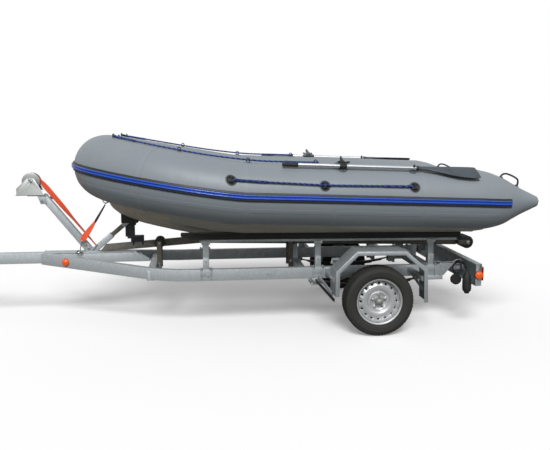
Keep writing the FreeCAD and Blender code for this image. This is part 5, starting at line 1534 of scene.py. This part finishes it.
class BOAT_OT_winch(bpy.types.Operator):
    """Winch post and hand winch: frame, drum with its wound strap, crank and the strap to the post's foot"""

    bl_idname = "boat.winch"
    bl_label = "Winch"

    def execute(self, context):
        t = trailer_sizes()
        softened("winch_post_tube", "winch_post", "galvanised", bevel=t.edge_radius, steps=3)
        softened("winch_frame_plates", "winch_frame", "zinc_plate", bevel=t.sheet_edge)
        post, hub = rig.box("winch_post")[1].z, middle_of("winch_drum")
        hub.y = 0
        plate = Shape().block((-1.452, -0.036, post - 0.006), (-1.3, 0.036, post - 0.0002))
        cheek = mm("-1372 -4, -1302 -4, -1296 -75, -1345 -75")
        for side in (-0.034, 0.03):
            plate.slab([(x, side, post + z) for x, z in cheek], Y * 0.004)
        piece("winch_seat", plate, "galvanised", bevel=t.sheet_edge)
        drum = Shape()
        flange = mm("0 0, 0 66, 2 74.5, 4.5 75, 5 73, 4 66, 4 0")
        for way in (1, -1):
            drum.lathe([(way * a, r) for a, r in flange], hub - Y * 0.034 * way, Y, 56)
        drum.lathe("-57 0, -57 9, 75 9, 75 0", hub, Y, 20)
        piece("winch_reel_plates", drum, "zinc_plate", "winch_drum", "winch_reel")
        teeth = Shape().slab([hub + vec(a, 0.0355, b) for a, b in mm("-4.5 60, 4.5 60, 2 70.5, -2 70.5")],
            (0, 0.006, 0))
        repeated("winch_ratchet", teeth, ring_of_copies, "zinc_plate", "winch_reel", count=24, centre=hub)
        coil = []
        for k, angle in enumerate(radians(36 * k) for k in range(60)):
            coil.append((hub + (X * cos(angle) + Z * sin(angle)) * (0.046 + 0.00024 * min(k, 50)), 0.045, 0))
        coil = ribbon(Shape(), coil, 0.0016)
        coil.lathe("-22.2 10, -22.5 57.5, 22.5 57.5, 22.2 10", hub, Y, 48)
        piece("wound_strap", coil, "webbing", body="winch_reel", smooth=60)
        way = vec(cos(radians(52)), 0, -sin(radians(52)))
        at = hub + Y * 0.063
        arm = Shape().sweep([at - way * 0.014, at + way * 0.214], oblong(0.026, 0.008, 0.0035), up=Y)
        arm.lathe("-4 0, -4 13, 10 13, 12 9, 12 0", at, Y, 24)
        arm.lathe("0 0, 0 6, 113 6, 113 0", at + way * 0.2, Y, 16)
        piece("crank_arm", arm, "zinc_plate", "winch_crank", "winch_reel", bevel=0.001)
        grip = mm("6 0, 6 12, 10 14.5, 30 13.5, 60 15, 90 13.5, 106 14.8, 111 12, 111 0")
        piece("crank_grip", Shape().lathe(grip, at + way * 0.2, Y, 32), "rubber", body="winch_reel", smooth=60)
        low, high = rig.box("winch_strap")
        top, foot_end = vec(low.x, 0, high.z), vec(high.x, 0, low.z)
        turns = ((0, 0), (0.16, 62), (0.4, 48), (0.62, 12), (1, 0))
        strap = ribbon(Shape(), [(top.lerp(foot_end, share), 0.045, turn) for share, turn in turns])
        strap = piece("winch_strap_webbing", strap, "webbing", "winch_strap")
        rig.sheet(strap, flat=(0.045, round((foot_end - top).length, 3)), held="stretched",
            rests_on=["winch_drum", "drawbar"])
        shackle = mm("-930 -30 590, -890 -30 640, -890 30 640, -930 30 590")
        piece("strap_shackle", round_bar(Shape(), shackle, 0.005), "zinc_plate")
        spots = [((x, y, post + 0.006), Z) for x in (-1.53, -1.315) for y in (-0.024, 0.024)]
        spots += facing_out([(-1.336, 0.0345, post - 0.05)]) + facing_out(mm("-960 31 610, -985 31 640"))
        bolts("winch_bolts", spots, "zinc_plate", t.nut_flats, 0.008)
        return {"FINISHED"}


class BOAT_OT_bow_support(bpy.types.Operator):
    """Telescopic strut, black bow post with its rubber block, and the tie-down strap with its hook"""

    bl_idname = "boat.bow_support"
    bl_label = "Bow support and tie-down"

    def execute(self, context):
        t = trailer_sizes()
        # the strut's inner tube takes the zinc with painted shade
        softened("strut_inner_tube", "post_strut", "galvanised_dull", bevel=0.004, steps=3)
        foot, head = vec(-0.935, 0, 0.574), vec(-0.645, 0, 0.82)
        sleeve = Shape().sweep([foot.lerp(head, 0.02), foot.lerp(head, 0.6)], oblong(0.05, 0.05, 0.006), up=Y)
        sleeve.block("-985 -34 576.5, -860 34 580.5")
        sleeve.sweep([foot.lerp(head, 0.93), foot.lerp(head, 1.11)], oblong(0.04, 0.1, 0.006), up=Y)
        piece("strut_sleeve", sleeve, "galvanised", bevel=0.001)
        softened("bow_post_tube", "bow_support_post", "black_steel", bevel=0.004, steps=3)
        softened("bow_block_rubber", "bow_support_block", "roller_rubber", bevel=0.012, steps=4)
        cup = Shape().block("-640 -38 806, -555 38 838").block("-628 -34 690, -490 34 712")
        for x in (-0.585, -0.505):
            cup.block((x, -0.033, 0.632), (x + 0.012, 0.033, 0.7))
        piece("bow_post_plates", cup, "black_steel", bevel=0.0015)
        eye = Shape()
        torus(eye, (-1.04, -0.052, 0.5835), Z, 0.026, 0.006, 36, 12)
        eye.block("-1062 -52 577, -1022 -22 585")
        wire = mm("-1024 -58 577, -1032 -58 590, -1026 -58 615, -1019 -58 668, -1012 -58 682, -1006 -58 672")
        round_bar(eye, smooth_line(wire, 6), 0.0042)
        ring = arc_points((-0.806, 0, 0.998), vec(0.75, 0, 0.66), Y, 0.018, -110, 110, 16)
        round_bar(eye, ring + [ring[0]], 0.0034)
        piece("tie_hook_wire", eye, "zinc_plate", "tie_down_hook")
        band = Shape()
        low, bend, high = vec(-1.014, -0.058, 0.68), vec(-0.896, -0.024, 0.846), vec(-0.813, 0, 0.985)
        orange = ((0, 0.03, 88), (0.14, 0.052, 82), (0.55, 0.046, 70), (0.9, 0.026, 60), (1, 0.02, 55))
        ribbon(band, [(low.lerp(bend, share), wide, turn) for share, wide, turn in orange])
        ribbon(band, [(bend + Y * 0.001, 0.024, 55), (bend.lerp(high, 0.45), 0.025, 38), (high, 0.025, 20)], 0.0042, 1)
        band.block(bend - vec(0.006, 0.012, 0.008), bend + vec(0.006, 0.012, 0.008), 1)
        band = piece("tie_down_webbing", band, ["webbing", "webbing_black"], "tie_down_strap")
        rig.sheet(band, flat=(0.04, round((bend - low).length + (high - bend).length, 3)), held="stretched",
            rests_on=["tie_down_hook", "bow_tow_ring"])
        spots = facing_out(mm("-626 31 775, -626 31 735"))
        spots += [((x, -0.034, 0.672), -Y) for x in (-0.579, -0.499)] + [((-1.05, -0.032, 0.585), Z)]
        bolts("bow_post_bolts", spots, "black_steel", t.nut_flats, 0.008)
        return {"FINISHED"}


class BOAT_OT_coupling(bpy.types.Operator):
    """Ball coupling with its latch handle, and the jockey wheel on its column"""

    bl_idname = "boat.coupling"
    bl_label = "Coupling and jockey wheel"

    def execute(self, context):
        t = trailer_sizes()
        softened("coupling_head", "tow_coupling", "cast_iron", bevel=0.007, steps=4)
        softened("latch_handle", "coupling_handle", "zinc_plate", bevel=0.006, steps=4)
        softened("jockey_column_tube", "jockey_column", "zinc_plate", bevel=0.0015)
        softened("jockey_leg_tube", "jockey_leg", "zinc_plate", "jockey_leg_slider", bevel=0.001)
        softened("jockey_fork_plates", "jockey_fork", "zinc_plate", "jockey_caster", bevel=0.0012)
        low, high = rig.box("jockey_wheel")
        centre = vec((low.x + high.x) / 2, (low.y + high.y) / 2, 0.1)
        rim = mm("-29 8, -29 22, -16 26, -12 62, -23 72, -24 78, 24 78, 23 72, 12 62, 16 26, 29 22, 29 8")
        wheel = Shape().lathe(rim, centre, Y, 48)
        piece("jockey_rim", wheel, "plate_white", "jockey_wheel", "jockey_roller")
        web = Shape().block(centre + vec(-0.0025, -0.018, 0.022), centre + vec(0.0025, 0.018, 0.074))
        repeated("jockey_webs", web, ring_of_copies, "plate_white", "jockey_roller", count=8, centre=centre)
        tread = mm("-24 77, -29 82, -30 90, -26 97, -16 99.5, 0 100, 16 99.5, 26 97, 30 90, 29 82, 24 77")
        piece("jockey_tyre", Shape().lathe(tread, centre, Y, 64), "rubber", body="jockey_roller", smooth=60)
        pin = Shape().lathe("-47 0, -47 6, 47 6, 47 0", centre, Y, 16)
        piece("jockey_axle", pin, "zinc_plate", body="jockey_roller", bevel=0.001)
        lever = Shape()
        round_bar(lever, smooth_line(mm("-2148 118 530, -2120 121 530, -2085 124 515, -2060 124 490"), 5), 0.006)
        lever.lathe("0 0, 0 9, 12 11, 24 9, 26 0", (-2.062, 0.124, 0.493), (0.72, 0, -0.69), 20)
        grip = mm("-30 0, -30 9, 4 11.8, 40 11.8, 46 9, 46 0")
        lever.lathe(grip, (-2.058, 0.084, 0.836), Z, 24)
        piece("jockey_grips", lever, "rubber", smooth=60)
        spots = facing_out(mm("-2535 50.5 555, -2480 50.5 505"))
        bolts("coupling_bolts", spots, "zinc_plate", t.bolt_flats)
        return {"FINISHED"}


def rim_sector(wheel):
    """The part of the wheel's disc round one hole, front and back; wheel places a (h, radius, angle) point."""
    half = pi / trailer_sizes().rim_holes
    edge, hole = [], []
    for k in range(24):
        a = 2 * pi * k / 24
        reach = 1 / max(abs(cos(a)), abs(sin(a)))
        edge.append((0.145 + 0.017 * cos(a) * reach, half * sin(a) * reach))
        hole.append((0.1465 + 0.0092 * cos(a), 0.0092 / 0.1465 * sin(a)))

    def front(r, off):
        return 0.0452 - 0.02 * max(0, (r - 0.131) / 0.03) - off

    rounded = [(0.1465 + (r - 0.1465) * 1.15, a * 1.15) for r, a in hole]
    rings = [[wheel(front(r, off), r, a) for r, a in loop] for loop, off in
        ((edge, 0), (rounded, 0), (hole, 0.0014), (hole, 0.0034), (edge, 0.0034))]
    return Shape().loft(rings + rings[:1], caps=(False, False))


class BOAT_OT_wheels(bpy.types.Operator):
    """Road wheels: dished silver rims with their ring of holes, wheel bolts, hubs and treaded tyres"""

    bl_idname = "boat.wheels"
    bl_label = "Road wheels"

    def execute(self, context):
        t = trailer_sizes()
        # along the axle from the wheel's middle, and radius
        barrel = mm("63 185, 70 185, 71.8 183.5, 71.8 181.5, 69.5 179.7, 66 174, 59 169, 44 165.5, 30 164, 20 160, "
            "-30 159, -56 162, -66 174, -71 182, -70 185, -63 185, -62 172, -50 168, 50 170, 62 174")
        disc = mm("45.2 130, 45.8 116, 45.2 101, 43.5 94.5, 38.5 89, 32.5 85, 30 81.5, 30.5 78.5, 34.5 76.5, 36.5 73, "
            "35.5 69, 32 66, 31 33, 27 32, 27 64, 26 83, 38 94, 41.5 130")
        cap = mm("30 0, 30 32.5, 33 33.5, 37 32.5, 40 29, 65 27.5, 72 26.2, 76.5 20.5, 78 0")
        tyre = mm("60 168, 63.5 178.5, 66.5 186, 73.5 195.5, 75.5 197.5, 79.5 210, 81.6 224, 81.8 230, 81.4 238.5, "
            "82.4 240, 82.2 242.5, 80.8 243.5, 79 251, 76 260, 72.5 266.5, 67 271.5, 59 274.5, 30 276, 0 276.4")
        tyre += [(-a, b) for a, b in reversed(tyre[:-1])]
        for side, sign in SIDES:
            body = side + "_wheel"
            hub = middle_of(side + "_tyre")
            out = Y * sign

            def wheel(h, radius, angle):
                return hub + out * h + Z * radius * cos(angle) + X * radius * sin(angle)

            rim = Shape().lathe(barrel + barrel[:1], hub, out, 96).lathe(disc + disc[:1], hub, out, 72)
            piece(side + "_rim_steel", rim, "rim_paint", side + "_rim", body, smooth=50)
            repeated(side + "_rim_disc", rim_sector(wheel), ring_of_copies, "rim_paint", body, smooth=50,
                count=t.rim_holes, centre=hub)
            hole = hub + out * 0.031 + Z * 0.0505
            lug = Shape().lathe("0 0, 0 12.5, 4 12.5, 7 9.5", hole, out, 24)
            lug.lathe("6 0, 6 9.8, 15 9.8, 18 6, 18 0", hole, out, 6)
            repeated(side + "_wheel_bolts", lug, ring_of_copies, "zinc_plate", body, bevel=0.0006, count=5, centre=hub)
            middle = Shape().lathe(cap, hub, out, 48)
            middle.lathe("-60 18.5, -60 40, 10 40, 14 66, 26.5 66, 26.5 18.5", hub, out, 40)
            piece(side + "_hub_casting", middle, "cast_iron", side + "_hub", body, smooth=50)
            # a black disc behind the rim's holes: a dark sheet put there as painted shade, so that the holes read dark
            shield = Shape().lathe("6 0, 6 153, 9 155, 12 153, 12 0", hub, out, 64)
            piece(side + "_brake_shield", shield, "black_steel", body=body, slot="cast_coupling", smooth=50)
            piece(side + "_tyre_carcass", Shape().lathe(tyre, hub, out, 128), "tyre", side + "_tyre", body, smooth=60)
            # one pitch of the tread: five blocks across, staggered
            pitch = 2 * pi / t.tread_blocks
            tread = Shape()
            for k, (a, b) in enumerate(mm("-73.5 -40, -36 -14, -10.5 10.5, 14 36, 40 73.5")):
                middle, lean, rings = (a + b) / 2, 0.15 * pitch / (b - a), []
                for share, rise, inset in ((0.4, -0.004, 0), (0.4, 0, 0), (0.37, 0.0009, 0.0008)):
                    across = (a + inset, middle, b - inset)
                    corners = [(h, -share) for h in across] + [(h, share) for h in across[::-1]]
                    rings.append([wheel(h, 0.279 + rise - 0.0115 * max(0, (abs(h) - 0.056) / 0.0175) ** 1.6,
                        (part + 0.35 * (k % 2)) * pitch + lean * (h - a)) for h, part in corners])
                tread.loft(rings)
            repeated(side + "_tread", tread, ring_of_copies, "tyre", body, smooth=30, count=t.tread_blocks, centre=hub)
        return {"FINISHED"}


class BOAT_OT_axle(bpy.types.Operator):
    """Axle beam on two packs of leaf springs, with U-bolts, hangers and shackles"""

    bl_idname = "boat.axle"
    bl_label = "Axle and springs"

    def execute(self, context):
        t = trailer_sizes()
        softened("axle_tube", "axle_beam", "galvanised", bevel=0.004, steps=3)
        softened("hanger_plates", "spring_hangers", "galvanised", steps=3)
        low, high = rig.box("leaf_springs")
        middle = (low.x + high.x) / 2
        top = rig.box("axle_beam")[1].z + 0.031
        eyes, u_bolts = (low.x + 0.02, high.x - 0.02), (middle - 0.035, middle + 0.035)
        leaves, clamps = Shape(), Shape()
        for k, reach in enumerate((0.46, 0.37, 0.27, 0.17)):
            path = [(middle + reach * s / 12, 0.46, top - 0.004 - 0.0076 * k + 0.24 * (reach * s / 12) ** 2)
                for s in range(-12, 13)]
            leaves.sweep(path, oblong(0.05, 0.0066, 0.002), up=Z)
        for x in eyes:
            leaves.lathe("-25 6, -25 14.5, 25 14.5, 25 6", (x, 0.46, high.z - 0.015), Y, 24)
        for x in (middle - 0.11, middle + 0.11):
            leaves.block((x - 0.012, 0.43, top - 0.024), (x + 0.012, 0.49, top + 0.003))
        clamps.block((middle - 0.055, 0.42, top), (middle + 0.055, 0.5, top + 0.008))
        clamps.block((middle - 0.055, 0.42, 0.247), (middle + 0.055, 0.5, 0.2545))
        for x in u_bolts:
            for y in (0.429, 0.491):
                round_bar(clamps, [(x, y, 0.236), (x, y, top + 0.016)], 0.005)
        piece("spring_leaves", leaves.both(), "black_steel", "leaf_springs", bevel=0.0008)
        piece("spring_clamps", clamps.both(), "galvanised", bevel=t.sheet_edge)
        spots = []
        for sign in (1, -1):
            spots += [((x, sign * y, top + 0.008), Z) for x in u_bolts for y in (0.429, 0.491)]
            spots += facing_out([(x, 0.4925, 0.372) for x in (*eyes, 0.977)] + [(0.911, 0.4925, 0.385)], sign)
        bolts("spring_bolts", spots, "zinc_plate", t.bolt_flats)
        return {"FINISHED"}


# mudguard outline: aft of the axle and above it
GUARD = mm("-370 67, -366 265, -203 420, 192 416, 366 270, 374 3")


class BOAT_OT_mudguards(bpy.types.Operator):
    """Folded sheet mudguards with their lips, and the brackets and stays that carry them"""

    bl_idname = "boat.mudguards"
    bl_label = "Mudguards"

    def execute(self, context):
        t = trailer_sizes()
        axle = middle_of("starboard_tyre")
        inner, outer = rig.box("starboard_mudguard")
        # section: across the boat, and below the outline
        section = [(inner.y, 0), (outer.y - 0.004, 0), (outer.y - 0.0012, 0.0012), (outer.y, 0.004), (outer.y, 0.032),
            (outer.y - 0.003, 0.032),
            (outer.y - 0.003, 0.0045), (outer.y - 0.0045, 0.003), (inner.y, 0.003)]
        line = [vec(axle.x + a, 0, axle.z + b) for a, b in GUARD]
        rings = []
        for i, at in enumerate(line):
            into = (at - line[i - 1]).normalized() if i else (line[1] - at).normalized()
            leave = (line[i + 1] - at).normalized() if i + 1 < len(line) else into
            first = vec(into.z, 0, -into.x)
            mitre = (first + vec(leave.z, 0, -leave.x)).normalized()
            mitre = mitre / mitre.dot(first)
            rings.append([at + Y * y + mitre * down for y, down in section])
        for side, sign in SIDES:
            piece(side + "_guard_sheet", Shape().loft(rings).on(sign), "galvanised_sheet", side + "_mudguard",
                bevel=0.0006, smooth=30)
        softened("guard_brackets", "frame_brackets", "galvanised", bevel=t.sheet_edge)
        # folded gusset on the guard's front slope
        stays = Shape().slab([(a, 0.64, b) for a, b in mm("1050 555, 1062 600, 1150 600, 1098 540")], (0, 0.003, 0))
        stays.block("1062 640 598, 1150 716 601")
        # flat stays down to the guard's feet
        straight_bar(stays, *mm("975 488 420, 1040 800 335"), 0.034, 0.004, across=Z)
        straight_bar(stays, *mm("1760 486 450, 1774 800 360"), 0.03, 0.004, across=Z)
        # bracket under the rail behind the rear hanger
        stays.block("1886 440 362, 2056 488 398.5")
        braces = straight_bar(Shape(), *mm("955 478 386, 1042 860 300"), 0.03, 0.005, across=Z)
        braces.block("1888 442 330, 1908 486 364")
        piece("guard_stays", stays.both(), "galvanised", bevel=t.sheet_edge)
        piece("guard_braces", braces.both(), "black_steel", bevel=t.sheet_edge)
        spots = [((x, sign * 0.74, axle.z + 0.421), Z) for sign in (1, -1) for x in (1.3, 1.5)]
        spots += [((1.034, sign * y, 0.46), -X) for sign in (1, -1) for y in (0.745, 0.775)]
        bolts("guard_bolts", spots, "zinc_plate", t.nut_flats, 0.006)
        return {"FINISHED"}


class BOAT_OT_lights(bpy.types.Operator):
    """Light board with its lamps and blank number plate, side markers, wiring and plug"""

    bl_idname = "boat.lights"
    bl_label = "Light board and lamps"

    def execute(self, context):
        t = trailer_sizes()
        low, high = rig.box("light_board")
        wall = 0.0025
        front, back, foot, top = low.x, high.x, low.z, high.z
        channel = [(front, foot), (back, foot), (back, top), (front, top), (front, top - 0.012),
            (front + wall, top - 0.012),
            (front + wall, top - wall), (back - wall, top - wall), (back - wall, foot + wall),
            (front + wall, foot + wall), (front + wall, foot + 0.012), (front, foot + 0.012)]
        board = Shape().slab([(a, low.y, b) for a, b in channel], (0, high.y - low.y, 0))
        for y in (low.y, high.y - wall):
            board.block((low.x, y, low.z), (high.x, y + wall, high.z))
        piece("light_board_channel", board, "galvanised_sheet", "light_board", bevel=t.sheet_edge)
        markers, bases, behind = Shape(), Shape(), high.x
        dome = mm("4 0, 4 32.5, 10 32.5, 15 30, 17.5 24, 16.5 22.5, 19.5 20, 18.5 18, 21 14.5, 22 0")
        ring = mm("-4 0, -4 34.5, 5 34.5, 6 32, 6 0")
        on_board = vec((low.x + high.x) / 2, 0.8, (low.z + high.z) / 2)
        for at, way in ((on_board, Y), (vec(-1.134, 0.1575, 0.516), vec(-0.36, 0.93, 0).normalized())):
            markers.lathe(dome, at, way, 40)
            bases.lathe(ring, at, way, 40)
        bases.block((behind, 0.54, 0.402), (behind + 0.012, 0.76, 0.522))
        bases.both()
        markers.both()
        for y in (0.544, -0.756):
            markers.block((behind + 0.01, y, 0.406), (behind + 0.036, y + 0.066, 0.518))
        piece("marker_lenses", markers, "lens_orange", "lamps", bevel=0.0015, angle=60)
        piece("lamp_bases", bases, "rubber", bevel=0.0015, angle=60)
        red = Shape().block((behind + 0.01, 0.612, 0.406), (behind + 0.036, 0.756, 0.518)).both()
        piece("stop_lenses", red, "lens_red", bevel=0.004, steps=3)
        plate = Shape().block((behind, -0.26, 0.412), (behind + 0.0055, 0.26, 0.524))
        piece("number_plate_blank", plate, "plate_white", slot="lamp_lens", bevel=0.0015)
        # U-bolts over the rail's end and the flat bar to the board
        ends = Shape()
        loop = mm("489 400, 489 490, 480 503, 440 503, 431 490, 431 400")
        for x in (1.985, 2.035):
            round_bar(ends, smooth_line([(x, y, z) for y, z in loop], 4), 0.005)
        ends.sweep(smooth_line(mm("1955 470 500, 1990 472 520, 2060 475 508, 2130 478 512, 2230 478 500"), 6),
            oblong(0.004, 0.022, 0.001), up=Y)
        ends.block("2150 448 440, 2222 452 500")
        piece("rail_end_clamps", ends.both(), "galvanised", bevel=0.0008)
        # a round cable reel under the rail's end and the plug that hangs by it
        reel = mm("-20 0, -20 40, -14 45, -8 43, -6 30, 6 30, 8 43, 14 45, 20 40, 20 0")
        plug = Shape().lathe(reel, (2.188, -0.45, 0.352), Y, 36)
        plug.lathe("0 0, 0 10, 16 13, 45 30, 85 36, 150 37, 172 34, 186 21, 196 19, 196 0", (2.172, -0.722, 0.492),
            (0.03, 0, -1), 28)
        for shift in (0, 0.009, -0.008):
            lead = [(2.172, -0.722 + shift, 0.485), (2.17, -0.712 + shift, 0.522), (2.166, -0.64, 0.536 + shift),
                (2.16, -0.54, 0.524 + shift),
                (2.15, -0.47, 0.47), (2.165, -0.462 + shift, 0.42), (2.186, -0.455, 0.372)]
            round_bar(plug, smooth_line(lead, 6), 0.0038, 8)
        piece("cable_and_plug", plug, "rubber", smooth=50)
        wire = smooth_line(mm("2238 -462 452, 2232 -470 500, 2206 -474 530, 2170 -470 522, 2140 -466 504"), 6)
        piece("bare_cable", round_bar(Shape(), wire, 0.0028, 8), "plate_white", smooth=60)
        return {"FINISHED"}


# ---- stage


def seen_rays(tree):
    """Which rays come straight from the camera or through glass, and the light path that says so."""
    rays = tree.nodes.new("ShaderNodeLightPath").outputs
    both = {0: rays["Is Camera Ray"], 1: rays["Is Transmission Ray"]}
    return add_node(tree, "ShaderNodeMath", both, operation="MAXIMUM"), rays


class BOAT_OT_stage(bpy.types.Operator):
    """Pale floor, soft lamps, plain world and the camera"""

    bl_idname = "boat.stage"
    bl_label = "Stage"

    def execute(self, context):
        mesh = bpy.data.meshes.new("floor")
        mesh.from_pydata([(x, y, -0.0005) for y in (-25, 90) for x in (-60, 60)], [], [(0, 1, 3, 2)])
        floor = link(bpy.data.objects.new("floor", mesh))
        # matt painted board: white to the eye, greyer in what it throws back up
        paint = bpy.data.materials.new("board_painted_matt_white")
        paint.use_nodes = True
        tree = paint.node_tree
        tree.nodes.clear()
        seen, rays = seen_rays(tree)
        tones = {0: seen, 6: (0.19, 0.19, 0.184, 1), 7: (0.93, 0.93, 0.93, 1)}
        tone = add_node(tree, "ShaderNodeMix", tones, data_type="RGBA")
        matt = add_node(tree, "ShaderNodeBsdfDiffuse", {"Color": tone.outputs[2]})
        glow = add_node(tree, "ShaderNodeMath", {0: seen, 1: 0.22}, operation="MULTIPLY")
        light = add_node(tree, "ShaderNodeEmission", {"Strength": glow})
        add_node(tree, "ShaderNodeOutputMaterial", {0: add_node(tree, "ShaderNodeAddShader", {0: matt, 1: light})})
        mesh.materials.append(paint)
        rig.stage(floor)

        world = context.scene.world = bpy.data.worlds.new("studio")
        world.use_nodes = True
        tree = world.node_tree
        tree.nodes.clear()
        seen, rays = seen_rays(tree)
        # glossy rays see a brighter sky than diffuse ones
        share = {0: rays["Is Glossy Ray"], 1: 0.44, 2: 0.3}
        mirrored = add_node(tree, "ShaderNodeMath", share, operation="MULTIPLY_ADD")
        level = add_node(tree, "ShaderNodeMath", {0: seen, 1: mirrored}, operation="MAXIMUM")
        sky = add_node(tree, "ShaderNodeBackground", {"Strength": level, "Color": (1, 1, 1, 1)})
        add_node(tree, "ShaderNodeOutputWorld", {0: sky})

        # one broad soft sun from above the camera, so that the floor is lit alike everywhere
        sun = bpy.data.lights.new("soft_sun", "SUN")
        sun.energy, sun.angle = 2.55, radians(25)
        lamp = link(bpy.data.objects.new("soft_sun", sun))
        lamp.rotation_euler = vec(0.12, 0.75, -0.68).to_track_quat("-Z", "Y").to_euler()

        camera = bpy.data.cameras.new("camera")
        camera.sensor_width, camera.lens = 36, 44.19
        view = link(bpy.data.objects.new("camera", camera))
        view.location = (0, -5.943, 1.651)
        view.rotation_euler = (radians(81.748), 0, radians(-6.415))
        context.scene.camera = view
        context.scene.view_settings.view_transform = "Standard"
        return {"FINISHED"}


class BOAT_PT_parts(bpy.types.Panel):
    """The boat's and the trailer's pieces, in the order they are made"""

    bl_idname = "BOAT_PT_parts"
    bl_label = "Boat on trailer"
    bl_space_type = "VIEW_3D"
    bl_region_type = "UI"
    bl_category = "Boat"

    def draw(self, context):
        for group in ("boat_sizes", "trailer_sizes", "boat_finishes"):
            box = self.layout.box()
            owner = getattr(context.scene, group)
            for prop in owner.__annotations__:
                box.prop(owner, prop)
        for operator in OPERATORS:
            self.layout.operator(operator.bl_idname)


GROUPS = {"boat_sizes": BoatSizes, "trailer_sizes": TrailerSizes, "boat_finishes": Finishes}
OPERATORS = [c for n, c in list(globals().items()) if n.startswith("BOAT_OT_")]


def register():
    for name, group in GROUPS.items():
        bpy.utils.register_class(group)
        setattr(bpy.types.Scene, name, bpy.props.PointerProperty(type=group))
    for item in OPERATORS + [BOAT_PT_parts]:
        bpy.utils.register_class(item)


def unregister():
    for item in [BOAT_PT_parts] + OPERATORS[::-1]:
        bpy.utils.unregister_class(item)
    for name, group in GROUPS.items():
        delattr(bpy.types.Scene, name)
        bpy.utils.unregister_class(group)


def main():
    register()
    make_finishes()
    for operator in OPERATORS:
        family, name = operator.bl_idname.split(".")
        getattr(getattr(bpy.ops, family), name)()
    with open("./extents.json", "w") as file:
        boxes = {"cad": CAD_BOX, "visual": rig.bounds()}
        json.dump({k: [list(map(float, corner)) for corner in v] for k, v in boxes.items()}, file)


if __name__ == "__main__":
    main()
